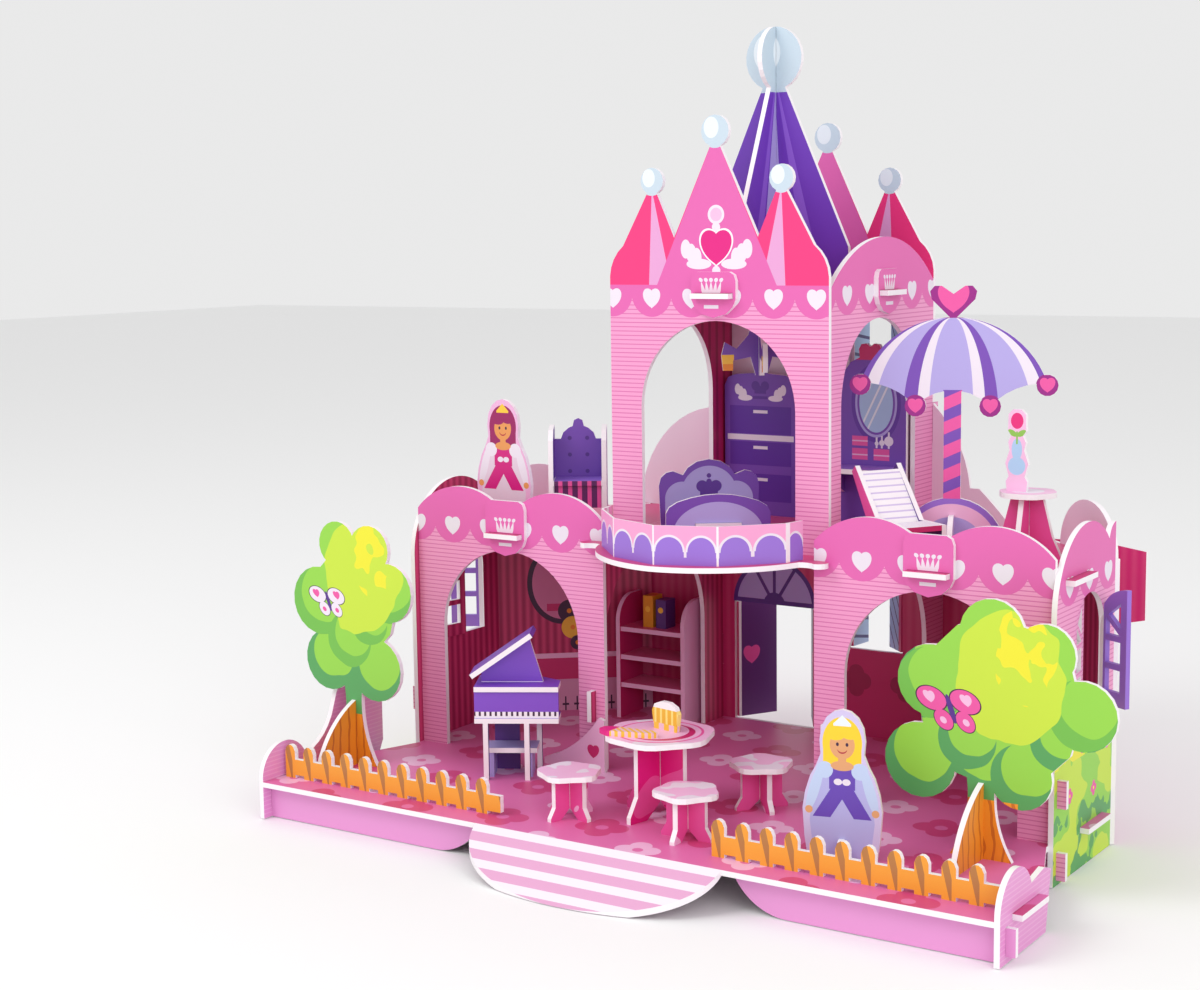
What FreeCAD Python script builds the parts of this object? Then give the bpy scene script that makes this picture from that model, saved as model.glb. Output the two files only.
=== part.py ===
import FreeCAD, Part
import math
import os

V = FreeCAD.Vector

# The castle is cut from printed foam board and goes together with tabs in slots.
# X runs along the front, Y to the back, Z up. Plan sizes start from the middle of the tower's front.

# Stock and fit
board = 3.0
slot_fit = 0.2
tab_proud = 5.0
tab_short = 25.0
tab_long = 34.0

# Levels, from the ground to the top face of each level board
floor_level = 22.4
terrace_level = 162.0
ceiling_level = 308.5

# Tower
tower_width = 144.0
tower_depth = 141.0
arch_radius = 51.0
arch_crown_drop = 12.8
side_arch_radius = 49.0
side_arch_middle = 64.0
tower_shoulder_rise = 9.5
tower_side_rise = 30.5

# Gable of the tower, drawn from its middle line
gable_corner_in = 9.3
gable_corner_rise = 17.5
turret_offset = 42.4
turret_ball_radius = 7.6
turret_ball_rise = 64.1
gable_valley_offset = 27.5
gable_valley_rise = 31.5
gable_ball_radius = 9.0
gable_ball_rise = 91.2
neck_half = 3.2

# Roof boards that cross over the tower
roof_ball_radius = 18.5
roof_ball_rise = 135.2
roof_neck_half = 7.5
roof_eave_half = 49.0
roof_eave_rise = 25.0
roof_foot_half = 36.0

# Wings
wing_inner_edge = 70.3
wing_outer_face = 213.0
wing_advance = 14.4
wing_side_front = 4.6
wing_side_depth = 87.0
merlon_radius = 45.0
merlon_pitch = 72.0
merlon_rise = 26.4
wing_arch_drop = 11.5
window_middle = 29.5
window_half = 22.6
window_sill = 85.0
window_crown = 150.0
shutter_gap = 0.6
hinge_overlap = 0.4
front_shutter_angle = -8.0
rear_shutter_angle = 60.0

# Inner walls between the hall and the wings
inner_wall_face = 77.0
inner_arch_middle = 55.0
inner_arch_radius = 59.0
inner_arch_drop = 6.0

# Rear wall
rear_reach = 207.0
rear_foot_reach = 150.0
rear_bracket_low = 60.0
rear_bracket_high = 115.0
door_middle = -38.3
door_width = 59.4
door_height = 79.0
door_leaf_angle = 60.0
rear_window_middle = 34.0
rear_window_width = 38.0
rear_window_sills = [78.5, 240.0]
rear_window_heights = [52.0, 56.0]
rear_window_angles = (85.0, 42.0)
rear_tab_middle = 110.0
rear_shoulder_reach = 140.0
rear_shoulder_rise = 70.0
corner_wall_reach = 128.0
corner_merlon_radius = 29.0
corner_merlon_inset = 31.0

# Garden in front
garden_reach = 234.0
garden_depth = 141.0
garden_side_back = 80.0
end_bump_radius = 20.0
end_bump_middle = 121.0
end_bump_top = 43.5
skirt_setback = 7.0
skirt_ramp_gap = 3.0
skirt_sweep = 31.0
ramp_middle = 5.5
ramp_half_width = 78.0
ramp_length = 37.0

# Balcony
balcony_front = 75.0
balcony_half = 66.0
balcony_ear_reach = 81.5
balcony_ear_radius = 5.5
rail_height = 22.0
rail_inset = 5.0
rail_thickness = 1.2

# Keystone clips
keystone_half = 14.6
keystone_rise = 13.6
keystone_wing_rise = 21.5
keystone_drop = 12.5

# Garden trees and fences
tree_right_inset = 46.0
tree_right_plane = -56.0
tree_left_inset = 23.0
tree_left_plane = -80.0
tree_brace_reach = 36.0
tree_brace_rise = 40.0
fence_setback = 17.0
fence_clearance = 6.0
fence_gate_inset = 10.0
fence_height = 20.0
picket_pitch = 14.3
picket_width = 7.6
rail_band = 9.5

# Furniture and figures: places as X, Y, the level they stand on, and the turn to the left
umbrella_spot = (121.5, 55.5, terrace_level, 20.0)
umbrella_half = 52.0
umbrella_tip_height = 95.0
umbrella_height = 132.0
umbrella_pole_half = 4.8
umbrella_foot_radius = 30.0
lounge_spot = (112.0, 16.0, terrace_level, 57.0)
lounge_width = 30.0
vase_table_spot = (171.0, 45.0, terrace_level, 0.0)
vase_table_height = 38.0
vase_table_radius = 16.0
vase_height = 45.0
terrace_chair_spot = (-121.5, 36.0, terrace_level, 32.0)
terrace_chair_width = 36.0
terrace_chair_seat = 29.0
terrace_chair_height = 66.0
figure_height = 79.0
figure_terrace_spot = (-163.0, 15.0, terrace_level, 0.0)
figure_garden_spot = (128.0, -93.0, floor_level, 14.0)
bed_spot = (-24.0, 36.4, terrace_level, 36.0)
bed_width = 61.5
bed_length = 60.0
bed_head_height = 43.0
bed_foot_height = 29.0
bed_base_height = 12.0
dresser_middle = -41.0
dresser_rear_gap = 13.0
dresser_width = 52.0
dresser_height = 91.0
vanity_middle = 43.5
vanity_rear_gap = 28.0
vanity_width = 48.0
vanity_height = 104.0
vanity_table_height = 38.0
chandelier_spot = (-4.0, 60.0, ceiling_level - board, 35.0)
chandelier_half = 23.0
chandelier_drop = 48.0
piano_spot = (-103.0, -59.9, floor_level, 30.0)
piano_width = 50.0
piano_depth = 32.0
piano_leg_height = 34.5
piano_body_height = 16.0
table_spot = (7.0, -76.0, floor_level, -12.6)
table_radius = 31.0
table_height = 47.6
stool_spots = [(-34.7, -104.0, floor_level, -14.0), (41.2, -104.2, floor_level, 0.0),
               (47.9, -34.8, floor_level, 51.5)]
stool_radius = 18.5
stool_height = 26.6
bench_spot = (-114.8, -48.8, floor_level, 30.0)
bookcase_middle = -110.5
bookcase_rear_gap = 38.0
bookcase_width = 53.0
bookcase_depth = 28.0
bookcase_height = 82.0
curved_stand_spot = (-89.5, -20.0, floor_level, 0.0)

# Heights and faces that follow from the sizes above
floor_under = floor_level - board
terrace_under = terrace_level - board
ceiling_under = ceiling_level - board
tower_half = tower_width / 2
tower_rear = tower_depth - board
dresser_spot = (dresser_middle, tower_rear - dresser_rear_gap, terrace_level, 0.0)
vanity_spot = (vanity_middle, tower_rear - vanity_rear_gap, terrace_level, 0.0)
bookcase_spot = (bookcase_middle, tower_rear - bookcase_rear_gap, floor_level, 0.0)
wing_front_y = -wing_advance
wing_room_y = wing_front_y + board
wing_outer_edge = wing_outer_face - board
wing_middle = (wing_inner_edge + wing_outer_edge) / 2
wing_side_near = wing_front_y - wing_side_front
wing_side_far = wing_side_near + wing_side_depth
merlon_top = terrace_level + merlon_rise
inner_wall_back = inner_wall_face + board
plate_joint = inner_wall_back + board + slot_fit
corner_angle = math.atan2(tower_rear - wing_side_far, wing_outer_face - corner_wall_reach)
corner_length = math.dist((wing_outer_face, wing_side_far), (corner_wall_reach, tower_rear))
garden_edge = garden_reach - board
tree_right_middle = garden_reach - tree_right_inset
tree_left_middle = tree_left_inset - garden_reach
garden_front_y = -garden_depth
skirt_y = garden_front_y + skirt_setback
fence_plane = garden_front_y + fence_setback
fence_outer = garden_reach - fence_clearance
fence_inner = ramp_half_width - fence_gate_inset


class Outline:
    """A closed outline on a board's own plane, drawn with straight and round strokes."""

    def __init__(self, u, v):
        self.start = V(u, v, 0)
        self.at = self.start
        self.edges = []

    def line(self, u, v):
        end = V(u, v, 0)
        self.edges.append(Part.LineSegment(self.at, end).toShape())
        self.at = end
        return self

    def arc(self, through, end_point):
        end = V(end_point[0], end_point[1], 0)
        middle = V(through[0], through[1], 0)
        self.edges.append(Part.Arc(self.at, middle, end).toShape())
        self.at = end
        return self

    def facets(self, through, end_point, sides):
        """A round stroke cut as short straight sides."""
        middle = V(through[0], through[1], 0)
        stroke = Part.Arc(self.at, middle, V(end_point[0], end_point[1], 0)).toShape()
        points = stroke.discretize(sides + 1)
        if points[0].distanceToPoint(self.at) > points[-1].distanceToPoint(self.at):
            points.reverse()
        for point in points[1:]:
            self.line(point.x, point.y)
        return self

    def face(self):
        if self.at.distanceToPoint(self.start) > 1e-6:
            self.line(self.start.x, self.start.y)
        return Part.Face(Part.Wire(self.edges))

    def doubled(self):
        """The face between this outline and its mirror image about the line u = 0."""
        image = [edge.mirror(V(0, 0, 0), V(1, 0, 0)) for edge in self.edges]
        return Part.Face(Part.Wire(Part.__sortEdges__(self.edges + image)))


def rectangle(u0, u1, v0, v1):
    return Outline(u0, v0).line(u1, v0).line(u1, v1).line(u0, v1).face()


def disc(u, v, radius):
    circle = Part.Circle(V(u, v, 0), V(0, 0, 1), radius)
    return Part.Face(Part.Wire([circle.toShape()]))


def arch(middle, half, bottom, crown):
    """A round-headed opening; the head is half a circle where the height leaves room."""
    spring = crown - half
    shape = Outline(middle - half, bottom).line(middle + half, bottom).line(middle + half, spring)
    return shape.facets((middle, crown), (middle - half, spring), 30).face()


def merged(solids):
    return solids[0].multiFuse(solids[1:]).removeSplitter()


def lying(face, underside, thickness=board):
    """A level board: the outline is its plan."""
    solid = face.extrude(V(0, 0, thickness))
    solid.translate(V(0, 0, underside))
    return solid


def facing_front(face, near_y, thickness=board):
    """An upright board along X: the outline is drawn in X and Z."""
    solid = face.extrude(V(0, 0, -thickness))
    solid.rotate(V(0, 0, 0), V(1, 0, 0), 90)
    solid.translate(V(0, near_y, 0))
    return solid


def facing_side(face, near_x, thickness=board):
    """An upright board along Y: the outline is drawn in Y and Z."""
    solid = face.extrude(V(0, 0, thickness))
    solid.rotate(V(0, 0, 0), V(1, 1, 1), 120)
    solid.translate(V(near_x, 0, 0))
    return solid


def tab(x, y, z):
    """A tab, given as its low and high value on each axis."""
    return Part.makeBox(x[1] - x[0], y[1] - y[0], z[1] - z[0], V(x[0], y[0], z[0]))


def slot(x, y, z):
    """The slot for a tab of the same limits, loose by the fit on every side."""
    wider = [(low - slot_fit, high + slot_fit) for low, high in (x, y, z)]
    return tab(*wider)


def with_tabs(solid, tabs):
    for limits in tabs:
        solid = solid.fuse(tab(*limits))
    return solid.removeSplitter()


def with_slots(solid, tabs):
    for limits in tabs:
        solid = solid.cut(slot(*limits))
    return solid


def mirrored(solid):
    return solid.mirror(V(0, 0, 0), V(1, 0, 0))


def mirrored_tabs(tabs):
    return [((-x[1], -x[0]), y, z) for x, y, z in tabs]


def around(middle, length):
    return (middle - length / 2, middle + length / 2)


# Tabs. Each set is cut on one board and slotted in the next, on the right-hand side of the castle.
floor_z = (floor_under, floor_level)
terrace_z = (terrace_under, terrace_level)
ceiling_z = (ceiling_under, ceiling_level)
side_out_x = (wing_outer_edge, wing_outer_face + tab_proud)
rear_out_y = (tower_rear, tower_depth + tab_proud)
wing_out_y = (wing_front_y - board - tab_proud, wing_room_y)
wing_wall_y = (wing_front_y, wing_room_y)
tower_out_y = (-board - tab_proud, board)
inner_wall_x = (inner_wall_face, inner_wall_back)
tower_side_x = (tower_half - board, tower_half)

floor_side_tab = (side_out_x, around(37.5, tab_long), floor_z)
floor_end_tab = ((garden_edge, garden_reach + tab_proud), around(-109.0, tab_long), floor_z)
floor_rear_tab = (around(rear_tab_middle, tab_short), rear_out_y, floor_z)
skirt_end_tab = ((garden_edge, garden_reach + tab_proud), (skirt_y, skirt_y + board), (4.0, 18.0))
wing_low_tab = (side_out_x, wing_wall_y, (3.0, 18.0))
wing_high_tab = (side_out_x, wing_wall_y, (42.0, 57.0))
terrace_front_tab = (around(wing_middle, tab_short), wing_out_y, terrace_z)
terrace_side_tab = (side_out_x, around(10.0, tab_long), terrace_z)
terrace_rear_tab = (around(rear_tab_middle, tab_short), rear_out_y, terrace_z)
inner_front_tab = (inner_wall_x, (wing_front_y - tab_proud, wing_room_y), (52.0, 70.6))
inner_rear_tab = (inner_wall_x, rear_out_y, (58.0, 78.0))
inner_top_tabs = [(inner_wall_x, around(126.0, 16.0), terrace_z),
                  (inner_wall_x, around(30.0, tab_short), terrace_z)]
balcony_rear_tab = (around(38.0, tab_short), rear_out_y, terrace_z)
tower_side_foot_tab = (tower_side_x, around(125.0, 16.0), terrace_z)
tower_front_foot_tab = (around(61.5, 13.0), (0.0, board), terrace_z)
tower_side_rear_tab = (tower_side_x, rear_out_y, around(225.0, tab_short))
ceiling_front_tab = (around(0.0, tab_short), tower_out_y, ceiling_z)
ceiling_side_tab = ((tower_half - board, tower_half + board + tab_proud),
                    around(tower_depth / 2, tab_short), ceiling_z)
ceiling_rear_tab = (around(0.0, tab_short), rear_out_y, ceiling_z)
roof_wide_foot_tab = (around(22.0, 14.0), around(tower_depth / 2, board), ceiling_z)
roof_deep_foot_tabs = [(around(0.0, board), around(tower_depth / 2 + side * 22.0, 14.0), ceiling_z)
                       for side in (-1, 1)]
tree_right_foot_tab = (around(tree_right_middle - 4.0, 16.0),
                       (tree_right_plane, tree_right_plane + board), floor_z)
tree_left_foot_tab = (around(tree_left_middle, 16.0),
                      (tree_left_plane, tree_left_plane + board), floor_z)


def both_sides(tabs):
    return list(tabs) + mirrored_tabs(tabs)


def level_half(edge_x, front_points):
    """Right half of a level board behind the wing fronts, with its rear corner cut off slantwise."""
    share = (wing_outer_face - edge_x) / (wing_outer_face - corner_wall_reach)
    shape = front_points.line(edge_x, wing_side_far + share * (tower_rear - wing_side_far))
    return shape.line(corner_wall_reach, tower_rear)


def across_corner(solid):
    """Sets a board, drawn from its rear end outwards, on the slant of the right rear corner."""
    solid.rotate(V(0, 0, 0), V(0, 0, 1), -math.degrees(corner_angle))
    solid.translate(V(corner_wall_reach, tower_rear, 0))
    return solid


def corner_tab(level_z, loose=0.0):
    """The tab of a level board that passes through the slanting corner wall."""
    u = around(corner_length - corner_merlon_inset, tab_short + 2 * loose)
    z = (level_z[0] - loose, level_z[1] + loose)
    return across_corner(tab(u, (-1.0, board + tab_proud), z))


def corner_wall_right():
    """A slanting wall between a wing's side wall and the rear wall, with one round merlon."""
    start = 1.1 * board / math.tan(corner_angle)
    end = corner_length - slot_fit
    middle = corner_length - corner_merlon_inset
    shape = Outline(start, 0.0).line(end, 0.0).line(end, terrace_level)
    shape.line(middle + corner_merlon_radius, terrace_level)
    shape.facets((middle, terrace_level + corner_merlon_radius),
                 (middle - corner_merlon_radius, terrace_level), 20)
    wall = across_corner(facing_front(shape.line(start, terrace_level).face(), 0.0))
    return wall.cut(corner_tab(floor_z, slot_fit)).cut(corner_tab(terrace_z, slot_fit))


def floor_face():
    right = Outline(0.0, garden_front_y).line(garden_edge, garden_front_y)
    right.line(garden_edge, -garden_side_back)
    right.line(wing_outer_edge, wing_side_near - 2.0)
    right.line(wing_outer_edge, wing_front_y - slot_fit)
    right.line(wing_outer_edge - 14.0 - slot_fit, wing_front_y - slot_fit)
    right.line(wing_outer_edge - 14.0 - slot_fit, wing_room_y + slot_fit)
    right.line(wing_outer_edge, wing_room_y + slot_fit)
    return level_half(wing_outer_edge, right).line(0.0, tower_rear).doubled()


def ramp():
    """The card in front of the gate: half an ellipse folded down from the floor's front edge."""
    ellipse = Part.Ellipse(V(0, 0, 0), ramp_half_width, ramp_length)
    outline = Part.Face(Part.Wire([ellipse.toShape()]))
    outline.translate(V(ramp_middle, garden_front_y, 0))
    column = outline.extrude(V(0, 0, floor_level))
    slope = floor_level / ramp_length
    drop = board * math.sqrt(1 + slope * slope)
    section = Outline(garden_front_y, floor_level).line(garden_front_y - ramp_length, 0.0)
    section.line(garden_front_y - ramp_length + drop / slope, 0.0)
    section.line(garden_front_y, floor_level - drop)
    section.line(garden_front_y + board, floor_under).line(garden_front_y + board, floor_level)
    strip = facing_side(section.face(), ramp_middle - ramp_half_width, 2 * ramp_half_width)
    return strip.common(column)


def floor_plate():
    corner = corner_tab(floor_z)
    solid = lying(floor_face(), floor_under).fuse([ramp(), corner, mirrored(corner)]).removeSplitter()
    solid = with_tabs(solid, both_sides([floor_side_tab, floor_end_tab, floor_rear_tab]))
    return with_slots(solid, [tree_right_foot_tab, tree_left_foot_tab])


def skirt(edge_x, side):
    """An upright board under the floor's front edge that sweeps down to the ground by the ramp."""
    top_x = ramp_middle + side * (ramp_half_width + skirt_ramp_gap)
    foot_x = top_x + side * skirt_sweep
    radius = (skirt_sweep ** 2 + floor_under ** 2) / (2 * floor_under)
    turn = math.asin(skirt_sweep / radius) / 2
    middle = (foot_x - side * radius * math.sin(turn), radius - radius * math.cos(turn))
    shape = Outline(edge_x, 0.0).line(edge_x, floor_under).line(top_x, floor_under)
    return facing_front(shape.arc(middle, (foot_x, 0.0)).face(), skirt_y)


def front_skirt_right():
    return with_tabs(skirt(garden_edge, 1), [skirt_end_tab])


def front_skirt_left():
    return with_tabs(skirt(-garden_edge, -1), mirrored_tabs([skirt_end_tab]))


def bump_start():
    """Front edge and first bump of a garden end board, drawn in Y and Z."""
    centre_z = end_bump_top - end_bump_radius
    front = -end_bump_middle - end_bump_radius
    shape = Outline(front, 0.0).line(front, centre_z)
    lean = math.radians(22.0)
    valley = (-end_bump_middle + end_bump_radius * math.cos(lean),
              centre_z + end_bump_radius * math.sin(lean))
    return shape.arc((-end_bump_middle, end_bump_top), valley)


def garden_end_right():
    bump = -end_bump_middle
    shape = bump_start().arc((bump + 27.0, 32.5), (bump + 35.0, 34.0)).line(bump + 44.0, 31.0)
    shape.line(bump + 38.0, 0.0)
    solid = facing_side(shape.face(), garden_edge)
    return with_slots(solid, [floor_end_tab, skirt_end_tab])


def garden_end_left():
    bump = -end_bump_middle
    shape = bump_start().facets((bump + 33.0, 38.0), (bump + 45.0, 56.0), 6)
    shape.facets((bump + 61.0, 78.0), (bump + 79.0, 84.0), 6)
    shape.line(bump + 91.0, 84.0).line(bump + 91.0, 24.0).line(bump + 79.0, 0.0)
    solid = facing_side(shape.face(), -garden_reach)
    return with_slots(solid, mirrored_tabs([floor_end_tab, skirt_end_tab]))


def merlon_height(distance):
    return merlon_top - merlon_radius + math.sqrt(merlon_radius ** 2 - distance ** 2)


def wing_front_right():
    left = wing_middle - merlon_pitch / 2
    right = wing_middle + merlon_pitch / 2
    leg = wing_outer_edge - 14.0
    shape = Outline(wing_inner_edge, floor_level).line(leg, floor_level).line(leg, 0.0)
    shape.line(wing_outer_edge, 0.0)
    shape.line(wing_outer_edge, merlon_height(wing_outer_edge - right))
    shape.arc((right, merlon_top), (wing_middle, merlon_height(merlon_pitch / 2)))
    shape.arc((left, merlon_top), (wing_inner_edge, merlon_height(left - wing_inner_edge)))
    opening = arch(wing_middle, arch_radius, -board, terrace_level - wing_arch_drop)
    solid = facing_front(shape.face().cut(opening), wing_front_y)
    solid = with_tabs(solid, [wing_low_tab, wing_high_tab])
    return with_slots(solid, [terrace_front_tab, inner_front_tab])


def shutter_faces(width, height):
    """One shutter leaf, half of the window, with two square and two three-cornered holes."""
    shape = Outline(0.0, 0.0).line(width, 0.0).line(width, height)
    turn = math.radians(45.0)
    corner = (width - width * math.sin(turn), height - width + width * math.cos(turn))
    leaf = shape.arc(corner, (0.0, height - width)).face()
    low = width * 0.24
    high = width * 0.78
    for bottom in (0.12, 0.36):
        leaf = leaf.cut(rectangle(low, high, bottom * height, (bottom + 0.19) * height))
    lower = Outline(low, 0.60 * height).line(high, 0.60 * height).line(low, 0.74 * height)
    upper = Outline(high, 0.66 * height).line(high, 0.88 * height).line(low + 2.0, 0.77 * height)
    return leaf.cut(lower.face()).cut(upper.face())


def shutter(hinge_y, side, angle):
    """A leaf folded on its hinge line: the angle opens it outwards from the wall."""
    width = window_half - shutter_gap
    leaf = facing_side(shutter_faces(width, window_crown - window_sill), 0.0)
    if side < 0:
        leaf = leaf.mirror(V(0, 0, 0), V(0, 1, 0))
    leaf.rotate(V(0, 0, 0), V(0, 0, 1), -side * angle)
    leaf.translate(V(wing_outer_edge, hinge_y, window_sill))
    return leaf


def wing_side_right():
    centre_y = wing_side_near + merlon_radius
    spring = merlon_top - merlon_radius
    notch = wing_side_far - 10.0
    shape = Outline(wing_side_near, 0.0).line(wing_side_far, 0.0).line(wing_side_far, merlon_top - 5.0)
    shape.arc((notch + 5.0, merlon_top - 6.5), (notch, merlon_height(notch - centre_y)))
    shape.arc((centre_y, merlon_top), (wing_side_near, spring))
    opening = arch(window_middle, window_half, window_sill, window_crown)
    solid = facing_side(shape.face().cut(opening), wing_outer_edge)
    front_leaf = shutter(window_middle - window_half - hinge_overlap, 1, front_shutter_angle)
    rear_leaf = shutter(window_middle + window_half + hinge_overlap, -1, rear_shutter_angle)
    solid = solid.fuse(front_leaf).fuse(rear_leaf).removeSplitter()
    return with_slots(solid, [floor_side_tab, wing_low_tab, wing_high_tab, terrace_side_tab])


def inner_wall_right():
    opening = arch(inner_arch_middle, inner_arch_radius, -board, terrace_under - inner_arch_drop)
    face = rectangle(wing_room_y, tower_rear, floor_level, terrace_under).cut(opening)
    solid = facing_side(face, inner_wall_face)
    return with_tabs(solid, [inner_front_tab, inner_rear_tab] + inner_top_tabs)


def terrace_plate_right():
    front = Outline(plate_joint, wing_room_y).line(wing_outer_edge, wing_room_y)
    face = level_half(wing_outer_edge, front).line(plate_joint, tower_rear).face()
    solid = lying(face, terrace_under).fuse(corner_tab(terrace_z))
    return with_tabs(solid, [terrace_front_tab, terrace_side_tab, terrace_rear_tab])


def balcony_face():
    """Plan of the middle floor: the hall's ceiling, with a wavy balcony and two ears before it."""
    ear_y = wing_front_y - slot_fit - balcony_ear_radius
    ear_x = balcony_ear_reach - balcony_ear_radius
    plate = plate_joint - slot_fit
    notch = wing_inner_edge - slot_fit
    right = Outline(0.0, -balcony_front)
    right.arc((21.0, -balcony_front + 4.5), (39.0, -balcony_front + 14.5))
    right.arc((55.0, -balcony_front + 30.0), (balcony_half, ear_y - 4.0))
    right.facets((balcony_half + 3.5, ear_y - 3.0), (ear_x, ear_y - balcony_ear_radius), 4)
    right.facets((balcony_ear_reach, ear_y), (ear_x, wing_front_y - slot_fit), 8)
    right.line(notch, wing_front_y - slot_fit).line(notch, wing_room_y + slot_fit)
    right.line(plate, wing_room_y + slot_fit).line(plate, tower_rear).line(0.0, tower_rear)
    return right.doubled()


def balcony_plate():
    solid = with_tabs(lying(balcony_face(), terrace_under), both_sides([balcony_rear_tab]))
    held = inner_top_tabs + [tower_side_foot_tab, tower_front_foot_tab]
    return with_slots(solid, both_sides(held))


def rail_line(offset):
    """Fold points of the balcony rail, moved inwards by the offset."""
    reach = balcony_half - 2.0 - offset
    front = balcony_front - rail_inset - offset
    fold = reach * 0.53125
    return [(-reach, -wing_advance - 1.0), (-reach + 3.0, -front * 0.42), (-fold, -front + 12.0),
            (0.0, -front), (fold, -front + 12.0), (reach - 3.0, -front * 0.42),
            (reach, -wing_advance - 1.0)]


def balcony_railing():
    outer = rail_line(0.0)
    inner = rail_line(rail_thickness)
    shape = Outline(*outer[0])
    for point in outer[1:] + inner[::-1]:
        shape.line(*point)
    return lying(shape.face(), terrace_level, rail_height)


def gable_half(shape):
    """The right-hand half of the tower's top, from its right edge to the middle ball's crown."""
    corner_z = ceiling_level + tower_shoulder_rise
    turret_z = ceiling_level + turret_ball_rise
    neck_z = turret_z - math.sqrt(turret_ball_radius ** 2 - neck_half ** 2)
    valley = (gable_valley_offset, ceiling_level + gable_valley_rise)
    crown_z = ceiling_level + gable_ball_rise
    crown_neck = crown_z - math.sqrt(gable_ball_radius ** 2 - neck_half ** 2)
    slope = (tower_half - gable_corner_in, corner_z + gable_corner_rise)
    shape.line(tower_half, corner_z)
    shape.facets((tower_half - 2.6, corner_z + 9.5), slope, 4)
    shape.line(turret_offset + neck_half, neck_z)
    shape.facets((turret_offset, turret_z + turret_ball_radius), (turret_offset - neck_half, neck_z), 14)
    shape.line(*valley).line(neck_half, crown_neck)
    shape.facets((gable_ball_radius * 0.8, crown_z + gable_ball_radius * 0.6),
                 (0.0, crown_z + gable_ball_radius), 7)
    return shape


def tower_front_wall():
    face = gable_half(Outline(0.0, terrace_level).line(tower_half, terrace_level)).doubled()
    opening = arch(0.0, arch_radius, -board, ceiling_under - arch_crown_drop)
    solid = facing_front(face.cut(opening), 0.0)
    solid = with_tabs(solid, both_sides([tower_front_foot_tab]))
    return with_slots(solid, [ceiling_front_tab])


def rear_half():
    """Right half of the rear wall: foot, bracket, shoulder and gable."""
    low = terrace_under
    shape = Outline(0.0, 0.0).line(rear_foot_reach, 0.0).line(rear_foot_reach, rear_bracket_low)
    shape.facets((rear_foot_reach + 19.0, rear_bracket_low + 36.0), (rear_reach, rear_bracket_high), 8)
    shape.line(rear_reach, low - 3.5).line(rear_reach - 24.0, low).line(corner_wall_reach, low)
    shape.facets((115.0, low + 15.0), (103.0, low + 27.0), 5).line(97.0, low + 27.0)
    shape.facets((90.0, low + 53.0), (tower_half, low + 78.0), 7)
    return gable_half(shape)


def rear_leaf(hinge_x, side, width, sill, height, angle):
    """A leaf cut from the rear wall and folded outwards on its jamb."""
    leaf = Part.makeBox(width, board, height - 1.5, V(0, -board, 0))
    if side < 0:
        leaf = mirrored(leaf)
    leaf.rotate(V(0, 0, 0), V(0, 0, 1), side * angle)
    leaf.translate(V(hinge_x - side * hinge_overlap, tower_depth, sill + 0.75))
    return leaf


def with_folded_opening(solid, middle, width, sill, height, angles):
    """Cuts a door or window in the rear wall and adds its two leaves, folded out by the angles."""
    left, right = middle - width / 2, middle + width / 2
    solid = solid.cut(tab((left, right), (tower_rear - board, tower_depth + board), (sill, sill + height)))
    leaf = width / 2 - shutter_gap
    solid = solid.fuse(rear_leaf(left, 1, leaf, sill, height, angles[0]))
    return solid.fuse(rear_leaf(right, -1, leaf, sill, height, angles[1]))


def rear_shoulder():
    """The large round shoulder beside the tower on the left."""
    low = terrace_under
    turns = [math.radians(7.5 * index) for index in range(13)]
    middle = tower_half + 7.0
    reach = rear_shoulder_reach - middle
    rise = rear_shoulder_rise
    points = [(-middle - reach * math.cos(turn), low + rise * math.sin(turn)) for turn in turns]
    return polygon(points + [(board - tower_half, low + rise), (board - tower_half, low)])


def rear_wall():
    solid = facing_front(rear_half().doubled(), tower_rear).fuse(facing_front(rear_shoulder(), tower_rear))
    solid = with_folded_opening(solid, door_middle, door_width, floor_level, door_height,
                                (door_leaf_angle, door_leaf_angle))
    for sill, height in zip(rear_window_sills, rear_window_heights):
        solid = with_folded_opening(solid, rear_window_middle, rear_window_width, sill, height,
                                    rear_window_angles)
    held = [floor_rear_tab, terrace_rear_tab, inner_rear_tab, balcony_rear_tab, tower_side_rear_tab]
    return with_slots(solid.removeSplitter(), both_sides(held) + [ceiling_rear_tab])


def tower_side_right():
    low_corner = ceiling_level + 3.5
    top = ceiling_level + tower_side_rise
    shape = Outline(board, terrace_level).line(tower_rear, terrace_level).line(tower_rear, low_corner)
    shape.arc((tower_depth / 2, top), (board, low_corner))
    opening = arch(side_arch_middle, side_arch_radius, -board, ceiling_under - arch_crown_drop)
    solid = facing_side(shape.face().cut(opening), tower_half - board)
    solid = with_tabs(solid, [tower_side_foot_tab, tower_side_rear_tab])
    return with_slots(solid, [ceiling_side_tab])


def tower_ceiling():
    face = rectangle(-tower_half + board, tower_half - board, board, tower_rear)
    solid = with_tabs(lying(face, ceiling_under), both_sides([ceiling_side_tab]))
    solid = with_tabs(solid, [ceiling_front_tab, ceiling_rear_tab])
    return with_slots(solid, both_sides([roof_wide_foot_tab]) + roof_deep_foot_tabs)


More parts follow.
